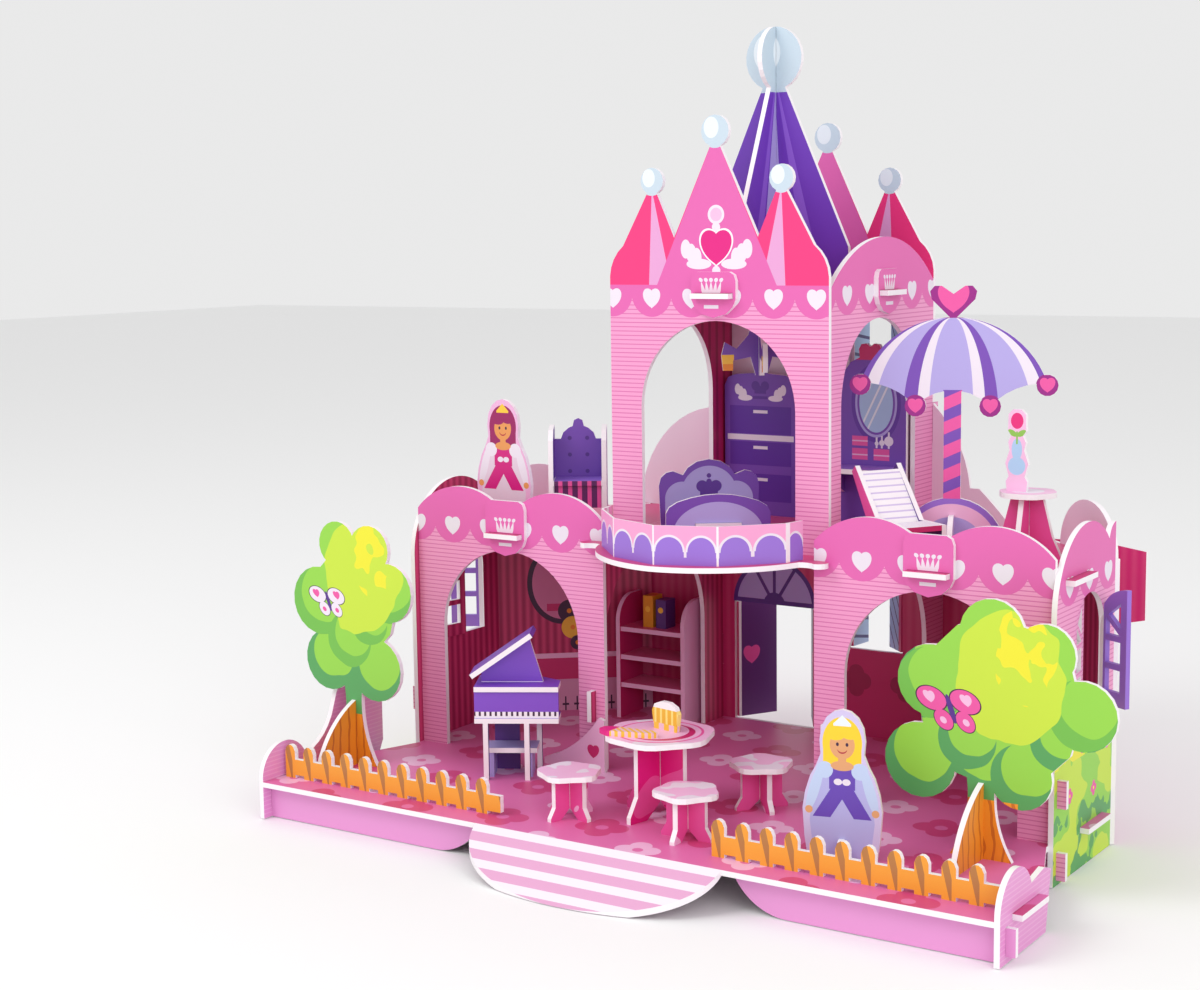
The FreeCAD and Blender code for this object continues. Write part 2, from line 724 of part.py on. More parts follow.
def roof_face(middle):
    """A roof board: a tall ogee with a round ball at its tip, drawn about a middle line."""
    ball_z = ceiling_level + roof_ball_rise
    neck_z = ball_z - math.sqrt(roof_ball_radius ** 2 - roof_neck_half ** 2)
    eave_z = ceiling_level + roof_eave_rise
    shape = Outline(middle - roof_foot_half, ceiling_level).line(middle + roof_foot_half, ceiling_level)
    shape.arc((middle + roof_eave_half - 3.0, ceiling_level + 10.0), (middle + roof_eave_half, eave_z))
    shape.line(middle + roof_neck_half, neck_z)
    shape.facets((middle, ball_z + roof_ball_radius), (middle - roof_neck_half, neck_z), 22)
    shape.line(middle - roof_eave_half, eave_z)
    shape.arc((middle - roof_eave_half + 3.0, ceiling_level + 10.0),
              (middle - roof_foot_half, ceiling_level))
    return shape.face()


lap_level = ceiling_level + 76.0
lap = (around(0.0, board + 2 * slot_fit), around(tower_depth / 2, board + 2 * slot_fit))


def roof_board_wide():
    near_y = (tower_depth - board) / 2
    solid = with_tabs(facing_front(roof_face(0.0), near_y), both_sides([roof_wide_foot_tab]))
    above = (lap_level - slot_fit, lap_level + 150.0)
    return solid.cut(tab(lap[0], around(tower_depth / 2, 2 * board), above))


def roof_board_deep():
    solid = with_tabs(facing_side(roof_face(tower_depth / 2), -board / 2), roof_deep_foot_tabs)
    below = (ceiling_level - 2 * board, lap_level)
    return solid.cut(tab(around(0.0, 2 * board), lap[1], below))


def keystone_face(middle, level, rise):
    """A shield with round upper corners and a rounded foot."""
    top = level + rise
    low = level - keystone_drop
    half = keystone_half
    side = top - 5.0
    waist = level - 2.0
    right = [(half - 4.0, top), (half - 1.2, top - 1.6), (half, side), (half, waist),
             (half * 0.86, low + 6.2), (half * 0.55, low + 2.2)]
    points = [(middle + u, v) for u, v in right] + [(middle, low)]
    return polygon(points + [(middle - u, v) for u, v in reversed(right)])


def keystone_wing_right():
    level = terrace_level - board / 2
    clip = facing_front(keystone_face(wing_middle, level, keystone_wing_rise), wing_front_y - board)
    return with_slots(clip, [terrace_front_tab])


def keystone_tower_front():
    level = ceiling_level - board / 2
    clip = facing_front(keystone_face(0.0, level, keystone_rise), -board)
    return with_slots(clip, [ceiling_front_tab])


def keystone_tower_right():
    level = ceiling_level - board / 2
    clip = facing_side(keystone_face(tower_depth / 2, level, keystone_rise), tower_half)
    return with_slots(clip, [ceiling_side_tab])


def tree_faces(trunk_middle, lobes, foot_half, trunk_half, crown_low):
    """A leafy crown of round lobes over a trunk that spreads at the floor."""
    trunk = Outline(trunk_middle - foot_half, floor_level).line(trunk_middle + foot_half, floor_level)
    trunk.arc((trunk_middle + trunk_half + 2.0, floor_level + 12.0),
              (trunk_middle + trunk_half, crown_low + 20.0))
    trunk.line(trunk_middle - trunk_half, crown_low + 20.0)
    trunk.arc((trunk_middle - trunk_half - 2.0, floor_level + 12.0),
              (trunk_middle - foot_half, floor_level))
    lobes = [(trunk_middle + lobe[0], lobe[1], lobe[2]) for lobe in lobes]
    middle_u = sum(lobe[0] for lobe in lobes) / len(lobes)
    middle_v = sum(lobe[1] for lobe in lobes) / len(lobes)
    reach = max(math.dist((middle_u, middle_v), lobe[:2]) - lobe[2] / 2 for lobe in lobes)
    rounds = [round_cut(lobe[0], lobe[1], lobe[2], 21) for lobe in lobes]
    return [trunk.face(), round_cut(middle_u, middle_v, reach, 12)] + rounds


# Lobes of the crowns: place beside the trunk's middle, height, radius
tree_right_lobes = [(4.9, 140.9, 17.5), (33.1, 132.2, 16.0), (53.0, 103.4, 18.0),
                    (20.9, 68.0, 17.0), (-28.0, 112.8, 19.0), (-34.0, 70.0, 20.0)]
tree_left_lobes = [(-10.0, 158.0, 14.0), (15.0, 156.0, 15.0), (29.0, 131.0, 18.0),
                   (-25.0, 122.0, 21.0), (-18.0, 86.0, 19.0), (18.0, 83.0, 19.5)]


def tree_right():
    faces = tree_faces(tree_right_middle, tree_right_lobes, 17.0, 9.0, 50.0)
    solid = merged([facing_front(face, tree_right_plane) for face in faces])
    return with_tabs(solid, [tree_right_foot_tab])


def tree_left():
    faces = tree_faces(tree_left_middle, tree_left_lobes, 17.0, 9.0, 60.0)
    solid = merged([facing_front(face, tree_left_plane) for face in faces])
    return with_tabs(solid, [tree_left_foot_tab])


def tree_brace(middle_x, plane_y):
    """A curved stay that stands square to a tree on its front side."""
    far = plane_y - tree_brace_reach
    shape = Outline(far, floor_level).line(plane_y, floor_level)
    shape.line(plane_y, floor_level + tree_brace_rise)
    shape.arc((plane_y - tree_brace_reach * 0.62, floor_level + tree_brace_rise * 0.62),
              (far, floor_level))
    return facing_side(shape.face(), middle_x - board / 2)


def picket_face(middle):
    half = picket_width / 2
    top = floor_level + fence_height
    return polygon([(middle - half, floor_level), (middle + half, floor_level), (middle + half, top - half),
                    (middle + half * 0.7, top - half * 0.3), (middle + half * 0.25, top),
                    (middle - half * 0.25, top), (middle - half * 0.7, top - half * 0.3),
                    (middle - half, top - half)])


def fence(first_x, last_x):
    """A picket fence cut as one board, with round-topped pickets on a low rail."""
    count = int((last_x - first_x - picket_width) / picket_pitch) + 1
    faces = [rectangle(first_x, last_x, floor_level + 2.0, floor_level + 2.0 + rail_band)]
    for index in range(count):
        middle = first_x + picket_width / 2 + index * picket_pitch
        faces.append(picket_face(middle))
    return merged([facing_front(face, fence_plane) for face in faces])


def put(solids, spot):
    """Turns furniture about the upright through its own zero and sets it on its place."""
    x, y, level, turn = spot
    for solid in solids:
        solid.rotate(V(0, 0, 0), V(0, 0, 1), turn)
        solid.translate(V(x, y, level))
    return solids[0] if len(solids) == 1 else Part.makeCompound(solids)


def polygon(points):
    shape = Outline(*points[0])
    for point in points[1:]:
        shape.line(*point)
    return shape.face()


def even(points):
    """A face that is the same on both sides of u = 0, from the points of its right half."""
    return polygon(points + [(-u, v) for u, v in reversed(points) if u > 0])


def round_cut(u, v, radius, sides):
    """A disc cut with short straight sides."""
    turns = [2 * math.pi * index / sides for index in range(sides)]
    return polygon([(u + radius * math.cos(turn), v + radius * math.sin(turn)) for turn in turns])


def lobed(radius, lobes, depth):
    """A flower-shaped plan, drawn with short straight cuts."""
    count = 6 * lobes
    points = []
    for index in range(count):
        turn = 2 * math.pi * index / count
        reach = radius * (1 - depth + depth * math.cos(lobes * turn))
        points.append((reach * math.cos(turn), reach * math.sin(turn)))
    return polygon(points)


def crossed(wide, deep, halving):
    """Two upright boards halved into each other; the first runs along X."""
    gap = board / 2 + slot_fit
    first = facing_front(wide, -board / 2)
    second = facing_side(deep, -board / 2)
    first = first.cut(tab((-gap, gap), (-board, board), (halving, halving + 200.0)))
    second = second.cut(tab((-board, board), (-gap, gap), (-200.0, halving)))
    return [first, second]


def stand_foot(radius, halving):
    """A half-round foot that crosses an upright board."""
    face = even([(0.0, 0.0), (radius, 0.0), (radius * 0.92, radius * 0.38), (radius * 0.71, radius * 0.71),
                 (radius * 0.38, radius * 0.92)])
    foot = facing_side(face, -board / 2)
    gap = board / 2 + slot_fit
    return foot.cut(tab((-board, board), (-gap, gap), (halving, 2 * radius)))


def over_foot(upright, halving):
    """The slot in an upright board that drops over its foot."""
    gap = board / 2 + slot_fit
    return upright.cut(tab((-gap, gap), (-board, board), (-1.0, halving)))


def umbrella():
    half = umbrella_half
    tip = umbrella_tip_height
    inner = half * 0.4
    low = tip - 13.0
    rim = Outline(-half, tip).facets((-half * 0.72, tip - 2.0), (-inner, low), 6)
    rim.facets((0.0, low + 9.0), (inner, low), 7).facets((half * 0.72, tip - 2.0), (half, tip), 6)
    canopy = rim.facets((0.0, umbrella_height), (-half, tip), 26).face()
    pole = rectangle(-umbrella_pole_half, umbrella_pole_half, 0.0, tip)
    base = round_cut(0.0, 0.0, umbrella_foot_radius, 36).cut(rectangle(-half, half, -half, 0.0))
    top = umbrella_height
    heart = even([(0.0, top - 2.0), (12.0, top + 10.0), (13.0, top + 14.5), (10.5, top + 17.5),
                  (6.5, top + 17.5), (0.0, top + 13.0)])
    discs = [round_cut(u, v, 6.0, 14) for u, v in ((-half, tip - 1.0), (half, tip - 1.0),
                                                   (-inner, low), (inner, low))]
    solids = [facing_front(face, -board / 2) for face in [canopy, pole, base, heart] + discs]
    return put([over_foot(merged(solids), 8.0)], umbrella_spot)


def figure(spot):
    """A standing doll in a wide dress, cut in outline."""
    top = figure_height
    right = [(18.0, 0.0), (19.8, 0.14), (20.8, 0.33), (19.5, 0.44), (16.8, 0.55), (13.8, 0.62), (11.3, 0.70),
             (11.9, 0.79), (10.9, 0.88), (8.2, 0.945), (4.4, 0.985), (0.0, 1.0)]
    face = even([(0.0, 0.0)] + [(half, share * top) for half, share in right])
    return put([over_foot(facing_front(face, -board / 2), 6.0)], spot)


def stand_feet():
    feet = [put([stand_foot(22.0, 8.0)], umbrella_spot)]
    for spot in (figure_terrace_spot, figure_garden_spot):
        feet.append(put([stand_foot(12.0, 6.0)], spot))
    return Part.makeCompound(feet)


def lounge_sides():
    side = polygon([(-17.0, 0.0), (-12.0, 0.0), (-9.0, 12.0), (5.0, 12.0), (8.0, 0.0), (13.0, 0.0),
                    (14.0, 15.0), (34.0, 46.0), (30.5, 49.5), (6.0, 20.0), (-17.0, 20.0)])
    reach = lounge_width / 2
    return put([facing_side(side, -reach), facing_side(side, reach - board)], lounge_spot)


def lounge_slats():
    reach = lounge_width / 2 - board
    seat = lying(rectangle(-reach, reach, -17.0, 1.5), 17.0)
    back = polygon([(5.5, 17.5), (9.0, 17.5), (31.0, 44.5), (28.0, 46.5)])
    return put([seat, facing_side(back, -reach, 2 * reach)], lounge_spot)


def flared_leg(height, top_half, foot_half, arch_half, arch_rise):
    """One board of a crossing pair of legs, with feet that flare out."""
    return even([(0.0, arch_rise), (arch_half, 0.0), (foot_half, 0.0), (foot_half, height * 0.08),
                 (top_half, height * 0.32), (top_half, height)])


def vase_table_legs():
    leg = even([(0.0, 0.0), (21.0, 0.0), (14.5, 14.0), (9.0, vase_table_height - board)])
    return put(crossed(leg, leg, vase_table_height / 2), vase_table_spot)


def vase_table_top():
    return put([lying(lobed(vase_table_radius, 6, 0.03), vase_table_height - board)], vase_table_spot)


def rose_vase():
    rise = vase_height
    face = even([(0.0, 0.0), (5.6, 0.0), (6.2, rise * 0.12), (4.6, rise * 0.18), (6.6, rise * 0.34),
                 (4.2, rise * 0.50), (5.0, rise * 0.60), (3.4, rise * 0.68), (5.2, rise * 0.74),
                 (5.0, rise * 0.94), (2.4, rise)])
    vase = facing_front(face, -board / 2)
    vase.translate(V(-5.0, -3.0, vase_table_height))
    return put([vase], vase_table_spot)


def terrace_chair_back():
    half = terrace_chair_width / 2 - board
    top = terrace_chair_height
    face = even([(0.0, terrace_chair_seat), (half, terrace_chair_seat), (half, top - 13.0),
                 (half - 4.0, top - 13.0), (half - 5.5, top - 9.0), (half - 9.0, top - 6.0),
                 (3.5, top - 5.0), (2.6, top - 1.2), (0.0, top)])
    return put([facing_front(face, 9.0)], terrace_chair_spot)


def terrace_chair_frame():
    half = terrace_chair_width / 2
    seat = terrace_chair_seat
    top = terrace_chair_height
    side = polygon([(-14.0, 0.0), (-10.0, 0.0), (-7.0, 12.0), (6.0, 12.0), (9.0, 0.0), (13.0, 0.0),
                    (13.0, top - 8.0), (9.0, top - 4.0), (-6.0, top - 6.0), (-12.0, top - 12.0),
                    (-14.0, seat)])
    plate = lying(rectangle(-half + board, half - board, -14.0, 13.0), seat - board)
    front = facing_front(rectangle(-half + board, half - board, 12.0, seat - board), -12.0)
    return put([facing_side(side, -half), facing_side(side, half - board), plate, front],
               terrace_chair_spot)


def bed_headboard():
    half = bed_width / 2
    top = bed_head_height
    face = even([(0.0, 0.0), (half - 1.0, 0.0), (half, top - 16.0), (half - 1.2, top - 11.0),
                 (half - 4.5, top - 8.0), (half * 0.72, top - 7.0), (half * 0.52, top - 9.5),
                 (half * 0.42, top - 5.0), (half * 0.24, top - 1.4), (0.0, top)])
    return put([facing_front(face, bed_length / 2 - board)], bed_spot)


def bed_footboard():
    half = bed_width / 2
    top = bed_foot_height
    face = even([(0.0, 0.0), (half, 0.0), (half, top - 11.0), (half * 0.94, top - 7.5),
                 (half * 0.78, top - 4.4), (half * 0.52, top - 2.0), (half * 0.26, top - 0.5), (0.0, top)])
    solid = facing_front(face, -bed_length / 2)
    return put([with_slots(solid, [bed_tab()])], bed_spot)


def bed_tab():
    near_y = -bed_length / 2
    return (around(0.0, 27.0), (near_y - 2.0, near_y + board), (bed_base_height - board, bed_base_height))


def bed_base():
    near_y = -bed_length / 2 + board
    far_y = bed_length / 2 - board
    half = bed_width / 2 - 4.0
    plate = lying(rectangle(-half, half, near_y, far_y), bed_base_height - board)
    rails = [facing_side(rectangle(near_y, far_y, 0.0, bed_base_height - board), x)
             for x in (-half, half - board)]
    return put([with_tabs(plate, [bed_tab()])] + rails, bed_spot)


def dresser():
    half = dresser_width / 2
    top = dresser_height
    face = even([(0.0, 0.0), (half, 0.0), (half, top - 8.0), (half - 2.5, top - 3.0),
                 (half - 8.0, top - 1.0), (6.0, top)])
    depth = 12.5
    stay = polygon([(board, 0.0), (depth, 0.0), (depth, 30.0), (board, 70.0)])
    return put([facing_front(face, 0.0), facing_side(stay, -half + 4.0),
                facing_side(stay, half - 4.0 - board)], dresser_spot)


def vanity_board():
    half = vanity_width / 2
    top = vanity_height
    face = even([(0.0, 0.0), (half, 0.0), (half, top - 26.0), (half - 4.0, top - 12.0),
                 (half - 11.0, top - 3.0), (7.0, top), (7.6, top + 5.0), (6.0, top + 8.0), (2.6, top + 8.5),
                 (0.0, top + 6.5)])
    return put([facing_front(face, 0.0)], vanity_spot)


def vanity_table():
    half = vanity_width / 2
    under = vanity_table_height - board
    plan = polygon([(-half, -22.0), (half - 6.0, -22.0), (half, -16.0), (half, 0.0), (-half, 0.0)])
    leg = polygon([(-20.0, 0.0), (-15.0, 0.0), (-8.0, under - 10.0), (0.0, under - 14.0), (0.0, under),
                   (-20.0, under)])
    legs = [facing_side(leg, x) for x in (-half + 4.0, half - 4.0 - board)]
    return put([lying(plan, under)] + legs, vanity_spot)


def chandelier():
    """Two crossing boards with curved arms and candles, hung from the ceiling by their necks."""
    half = chandelier_half
    low = -chandelier_drop
    face = even([(0.0, low), (3.5, low), (6.5, low + 11.0), (half - 6.0, low + 9.0), (half - 6.0, low + 3.0),
                 (half, low + 3.0), (half + 1.0, low + 12.0), (half - 1.0, low + 20.0),
                 (half - 8.0, low + 16.0), (8.0, low + 24.0), (4.5, low + 34.0), (6.5, 0.0)])
    return put(crossed(face, face, low / 2), chandelier_spot)


def piano_case():
    half = piano_width / 2
    low = piano_leg_height
    top = low + board + piano_body_height
    plan = [(-half, 0.0), (half, 0.0), (half, piano_depth - 14.0), (half - 16.0, piano_depth),
            (-half, piano_depth)]
    under = lying(polygon(plan), low)
    lid_plate = lying(polygon(plan), top)
    front = facing_front(rectangle(-half, half, low + board, top), 1.0)
    rear = facing_front(rectangle(-half, half - 18.0, low + board, top), piano_depth - 5.0)
    prop = facing_front(polygon(piano_prop(half, top + board)), 14.0)
    return put([under, lid_plate, front, rear, prop], piano_spot)


def piano_prop(half, level):
    return [(-half + 3.0, level), (half - 10.0, level), (half - 18.0, level + 27.0),
            (-half + 3.0, level + 7.0)]


def piano_lid():
    half = piano_width / 2
    level = piano_leg_height + 2 * board + piano_body_height
    low_u, high_u = -half + 3.0, half - 18.0
    slope = math.atan2(20.0, high_u - low_u)
    lid = Part.makeBox(piano_width - 6.0, piano_depth - 8.0, board, V(-5.0, 3.0, 0))
    lid.rotate(V(0, 0, 0), V(0, 1, 0), -math.degrees(slope))
    lid.translate(V(low_u, 0, level + 7.0))
    return put([lid], piano_spot)


def piano_legs():
    half = piano_width / 2
    leg = rectangle(0.0, 5.0, 0.0, piano_leg_height)
    legs = [facing_side(leg, x) for x in (-half + 5.0, half - 20.5)]
    rear_leg = facing_side(leg, half - 15.5)
    rear_leg.translate(V(0, piano_depth - 6.5, 0))
    legs.append(rear_leg)
    rear = facing_front(rectangle(-half + 9.0, half - 26.0, 0.0, piano_leg_height), piano_depth - 6.0)
    return put(legs + [rear], piano_spot)


def dining_table_top():
    return put([lying(lobed(table_radius, 6, 0.04), table_height - board)], table_spot)


def dining_table_legs():
    leg = flared_leg(table_height - board, 19.0, 25.0, 12.0, 10.0)
    return put(crossed(leg, leg, table_height / 2), table_spot)


def stool_seats():
    seats = [put([lying(lobed(stool_radius, 5, 0.07), stool_height - board)], spot)
             for spot in stool_spots]
    bench = put([lying(rectangle(-16.0, 16.0, -9.0, 9.0), 15.0)], bench_spot)
    return Part.makeCompound(seats + [bench])


def stool_legs():
    legs = []
    for spot in stool_spots:
        leg = flared_leg(stool_height - board, 12.0, 15.5, 8.0, 7.0)
        legs += put(crossed(leg, leg, stool_height / 2), spot).Solids
    for x in (-13.0, 10.0):
        legs.append(put([facing_side(rectangle(-8.0, 8.0, 0.0, 15.0), x)], bench_spot))
    return Part.makeCompound(legs)


def bookcase():
    half = bookcase_width / 2
    depth = bookcase_depth
    side = Outline(0.0, 0.0).line(depth, 0.0).line(depth, bookcase_height)
    side.line(depth - 12.0, bookcase_height)
    side = side.arc((4.0, bookcase_height - 6.0), (0.0, bookcase_height - 18.0)).face()
    shelf = rectangle(-half + board, half - board, 1.0, depth)
    levels = [bookcase_height * share for share in (0.29, 0.52, 0.75)]
    return put([facing_side(side, -half), facing_side(side, half - board)] +
               [lying(shelf, level - board) for level in levels], bookcase_spot)


def table_toys():
    """A sceptre and a crown on the table, and two books on the bookcase's upper shelf."""
    top = table_height
    sceptre = lying(polygon([(-30.0, -2.0), (-24.0, -6.5), (2.0, -3.0), (4.0, 0.0), (2.0, 3.0),
                             (-24.0, 4.5), (-29.0, 3.0)]), top)
    sceptre.rotate(V(0, 0, 0), V(0, 0, 1), 22.0)
    sceptre.translate(V(5.0, -12.0, 0))
    crown = facing_front(even([(0.0, 0.0), (8.5, 0.0), (10.0, 10.0), (8.0, 14.0), (3.0, 16.0)]), 4.0)
    crown.translate(V(0, 0, top))
    toys = [put([sceptre], table_spot), put([crown], table_spot)]
    shelf = bookcase_height * 0.75
    for x, height in ((-10.0, 21.0), (0.0, 19.0)):
        book = Part.makeBox(7.5, 12.0, height, V(x, 8.0, shelf))
        toys.append(put([book], bookcase_spot))
    return Part.makeCompound(toys)


def curved_stand():
    shape = Outline(-22.0, 0.0).line(22.0, 0.0).line(22.0, 32.0).line(18.0, 33.0)
    shape.arc((4.0, 18.0), (-12.0, 8.0)).line(-22.0, 4.0)
    return put([facing_front(shape.face(), 0.0)], curved_stand_spot)


def pair_of(solid):
    return Part.makeCompound([solid, mirrored(solid)])


def write(name, solid):
    solid.exportStep("parts/" + name + ".step")


def castle():
    pieces = {
        "floor_plate": floor_plate(),
        "front_skirt_left": front_skirt_left(),
        "front_skirt_right": front_skirt_right(),
        "garden_end_left": garden_end_left(),
        "garden_end_right": garden_end_right(),
        "balcony_plate": balcony_plate(),
        "balcony_railing": balcony_railing(),
        "tower_front_wall": tower_front_wall(),
        "rear_wall": rear_wall(),
        "tower_ceiling": tower_ceiling(),
        "roof_board_wide": roof_board_wide(),
        "roof_board_deep": roof_board_deep(),
        "keystone_tower_front": keystone_tower_front(),
        "keystones_tower_sides": pair_of(keystone_tower_right()),
        "keystones_wings": pair_of(keystone_wing_right()),
        "tree_left": tree_left(),
        "tree_right": tree_right(),
        "tree_braces": Part.makeCompound([tree_brace(tree_left_middle, tree_left_plane),
                                          tree_brace(tree_right_middle, tree_right_plane)]),
        "fence_left": fence(-fence_outer, -fence_inner),
        "fence_right": fence(fence_inner, fence_outer),
        "umbrella": umbrella(),
        "figure_terrace": figure(figure_terrace_spot),
        "figure_garden": figure(figure_garden_spot),
        "stand_feet": stand_feet(),
        "lounge_sides": lounge_sides(),
        "lounge_slats": lounge_slats(),
        "vase_table_top": vase_table_top(),
        "vase_table_legs": vase_table_legs(),
        "rose_vase": rose_vase(),
        "terrace_chair_back": terrace_chair_back(),
        "terrace_chair_frame": terrace_chair_frame(),
        "bed_headboard": bed_headboard(),
        "bed_footboard": bed_footboard(),
        "bed_base": bed_base(),
        "dresser": dresser(),
        "vanity_board": vanity_board(),
        "vanity_table": vanity_table(),
        "chandelier": chandelier(),
        "piano_case": piano_case(),
        "piano_lid": piano_lid(),
        "piano_legs": piano_legs(),
        "dining_table_top": dining_table_top(),
        "dining_table_legs": dining_table_legs(),
        "stool_seats": stool_seats(),
        "stool_legs": stool_legs(),
        "bookcase": bookcase(),
        "table_toys": table_toys(),
        "curved_stand": curved_stand(),
    }
    paired = {
        "wing_front": wing_front_right(),
        "wing_side": wing_side_right(),
        "inner_wall": inner_wall_right(),
        "terrace_plate": terrace_plate_right(),
        "tower_side": tower_side_right(),
        "corner_wall": corner_wall_right(),
    }
    for name, solid in paired.items():
        pieces[name + "_right"] = solid
        pieces[name + "_left"] = mirrored(solid)
    return pieces


def centred(pieces):
    """Moves the whole castle so that the middle of its box on the ground is the origin."""
    whole = Part.makeCompound(list(pieces.values())).optimalBoundingBox(False, False)
    move = V(-(whole.XMin + whole.XMax) / 2, -(whole.YMin + whole.YMax) / 2, -whole.ZMin)
    for solid in pieces.values():
        solid.translate(move)
    return pieces


os.makedirs("parts", exist_ok=True)
for name, solid in centred(castle()).items():
    write(name, solid)
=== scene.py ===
import math
import bpy
from mathutils import Matrix, Vector


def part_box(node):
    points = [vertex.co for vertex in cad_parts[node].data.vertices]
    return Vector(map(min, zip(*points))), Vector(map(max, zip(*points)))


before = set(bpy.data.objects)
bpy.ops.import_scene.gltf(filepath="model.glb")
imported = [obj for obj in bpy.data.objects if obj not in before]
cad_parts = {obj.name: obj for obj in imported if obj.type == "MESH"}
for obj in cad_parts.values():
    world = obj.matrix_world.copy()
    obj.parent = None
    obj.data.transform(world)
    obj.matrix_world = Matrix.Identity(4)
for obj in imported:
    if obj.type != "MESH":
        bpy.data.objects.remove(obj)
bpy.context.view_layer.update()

# The prints are laid out in millimetres from the middle of the tower's front, as the boards are.
tower_low, tower_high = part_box("tower_front_wall")
X0 = (tower_low.x + tower_high.x) / 2
Y0 = tower_low.y
MM = 0.001
ROUGHNESS = 0.42

# Levels and middles of the boards that more than one print refers to
TERRACE = 162.0
GABLE_FOOT = 313.0
CEILING_TAB = 308.2
TERRACE_TAB = 162.5
DOOR_TOP = 101.4
DOOR_MIDDLE = -38.3
TOWER_MIDDLE_Y = 70.5
GARDEN_FRONT_Y = -141.0
REAR_FACE_Y = 141.2
BRICK_PITCH = 2.55
HALF_BOARD = 1.7

# A face shows its print where its normal's share along the board's axis is more than this
SQUARELY = 0.6

# Turned pieces: where their prints start, and how far they are turned to the left
LOUNGE = (112.0, 16.0, TERRACE)
LOUNGE_TURN = 57.0
PIANO = (-103.0, -59.9, 22.4)
PIANO_TURN = 30.0
UMBRELLA_TURN = 20.0
CHAIR_TURN = 32.0
BED_TURN = 36.0
CHANDELIER_TURN = 35.0
TABLE_TURN = -12.6
GARDEN_FIGURE_TURN = 14.0
STOOLS = [(-34.7, -104.0, -14.0), (41.2, -104.2, 0.0), (47.9, -34.8, 51.5)]
LEFT_OF_HALL = -80.0


def at(x, y, z):
    return Vector((X0 + x * MM, Y0 + y * MM, z * MM))


def middle_of(node):
    """Middle of a node's plan and the level it stands on, in print millimetres."""
    low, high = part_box(node)
    return (((low.x + high.x) / 2 - X0) / MM, ((low.y + high.y) / 2 - Y0) / MM, low.z / MM)


def colour(red, green, blue):
    """A printed colour, from its values out of 255, as the shader takes it."""
    def linear(value):
        share = value / 255
        return share / 12.92 if share <= 0.04045 else ((share + 0.055) / 1.055) ** 2.4
    return (linear(red), linear(green), linear(blue), 1.0)


EDGE = colour(244, 238, 242)
BRICK = colour(238, 156, 200)
BRICK_LINE = colour(216, 112, 170)
BAND = colour(224, 100, 174)
PALE = colour(232, 222, 234)
AWNING = colour(236, 52, 124)
AWNING_PALE = colour(226, 160, 208)
MAGENTA = colour(200, 40, 108)
MAGENTA_DARK = colour(164, 26, 84)
CURTAIN = colour(206, 66, 118)
FLOOR_PINK = colour(222, 112, 172)
FLOOR_PETAL = colour(206, 70, 128)
RAMP_PALE = colour(238, 228, 238)
RAMP_PINK = colour(222, 162, 200)
SKIRT = colour(226, 150, 206)
PURPLE = colour(118, 72, 176)
PURPLE_DARK = colour(84, 40, 136)
VIOLET = colour(150, 110, 208)
LILAC = colour(176, 164, 222)
LILAC_PALE = colour(206, 188, 226)
SILVER = colour(196, 212, 224)
SILVER_LIGHT = colour(228, 236, 242)
LEAF_LIGHT = colour(196, 222, 60)
LEAF = colour(146, 208, 70)
LEAF_DARK = colour(84, 160, 88)
LEAF_YELLOW = colour(232, 226, 44)
TRUNK = colour(234, 150, 40)
TRUNK_DARK = colour(196, 112, 34)
FENCE = colour(238, 160, 48)
FENCE_DARK = colour(178, 120, 62)
HOT_PINK = colour(222, 20, 128)
ROSE = colour(230, 84, 160)
BLUSH = colour(238, 186, 220)
GLASS = colour(170, 200, 232)
BACK = colour(236, 214, 228)
INK = colour(60, 26, 62)
GOLD = colour(246, 196, 60)
ORANGE = colour(236, 140, 30)
PLUM = colour(150, 24, 130)


class Value:
    """A number in a material's node tree, for writing a print as plain arithmetic."""

    def __init__(self, sheet, source):
        self.sheet = sheet
        self.source = source

    def _with(self, operation, *others):
        return self.sheet.math(operation, self, *others)

    def __add__(self, other):
        return self._with("ADD", other)

    __radd__ = __add__

    def __sub__(self, other):
        return self._with("SUBTRACT", other)

    def __rsub__(self, other):
        return self.sheet.math("SUBTRACT", other, self)

    def __mul__(self, other):
        return self._with("MULTIPLY", other)

    __rmul__ = __mul__

    def __truediv__(self, other):
        return self._with("DIVIDE", other)

    def __mod__(self, other):
        return self._with("FLOORED_MODULO", other)

    def __gt__(self, other):
        return self._with("GREATER_THAN", other)

    def __lt__(self, other):
        return self._with("LESS_THAN", other)

    def both(self, other):
        return self._with("MINIMUM", other)

    def either(self, other):
        return self._with("MAXIMUM", other)

    def size(self):
        return self._with("ABSOLUTE")

    def root(self):
        return self._with("SQRT")


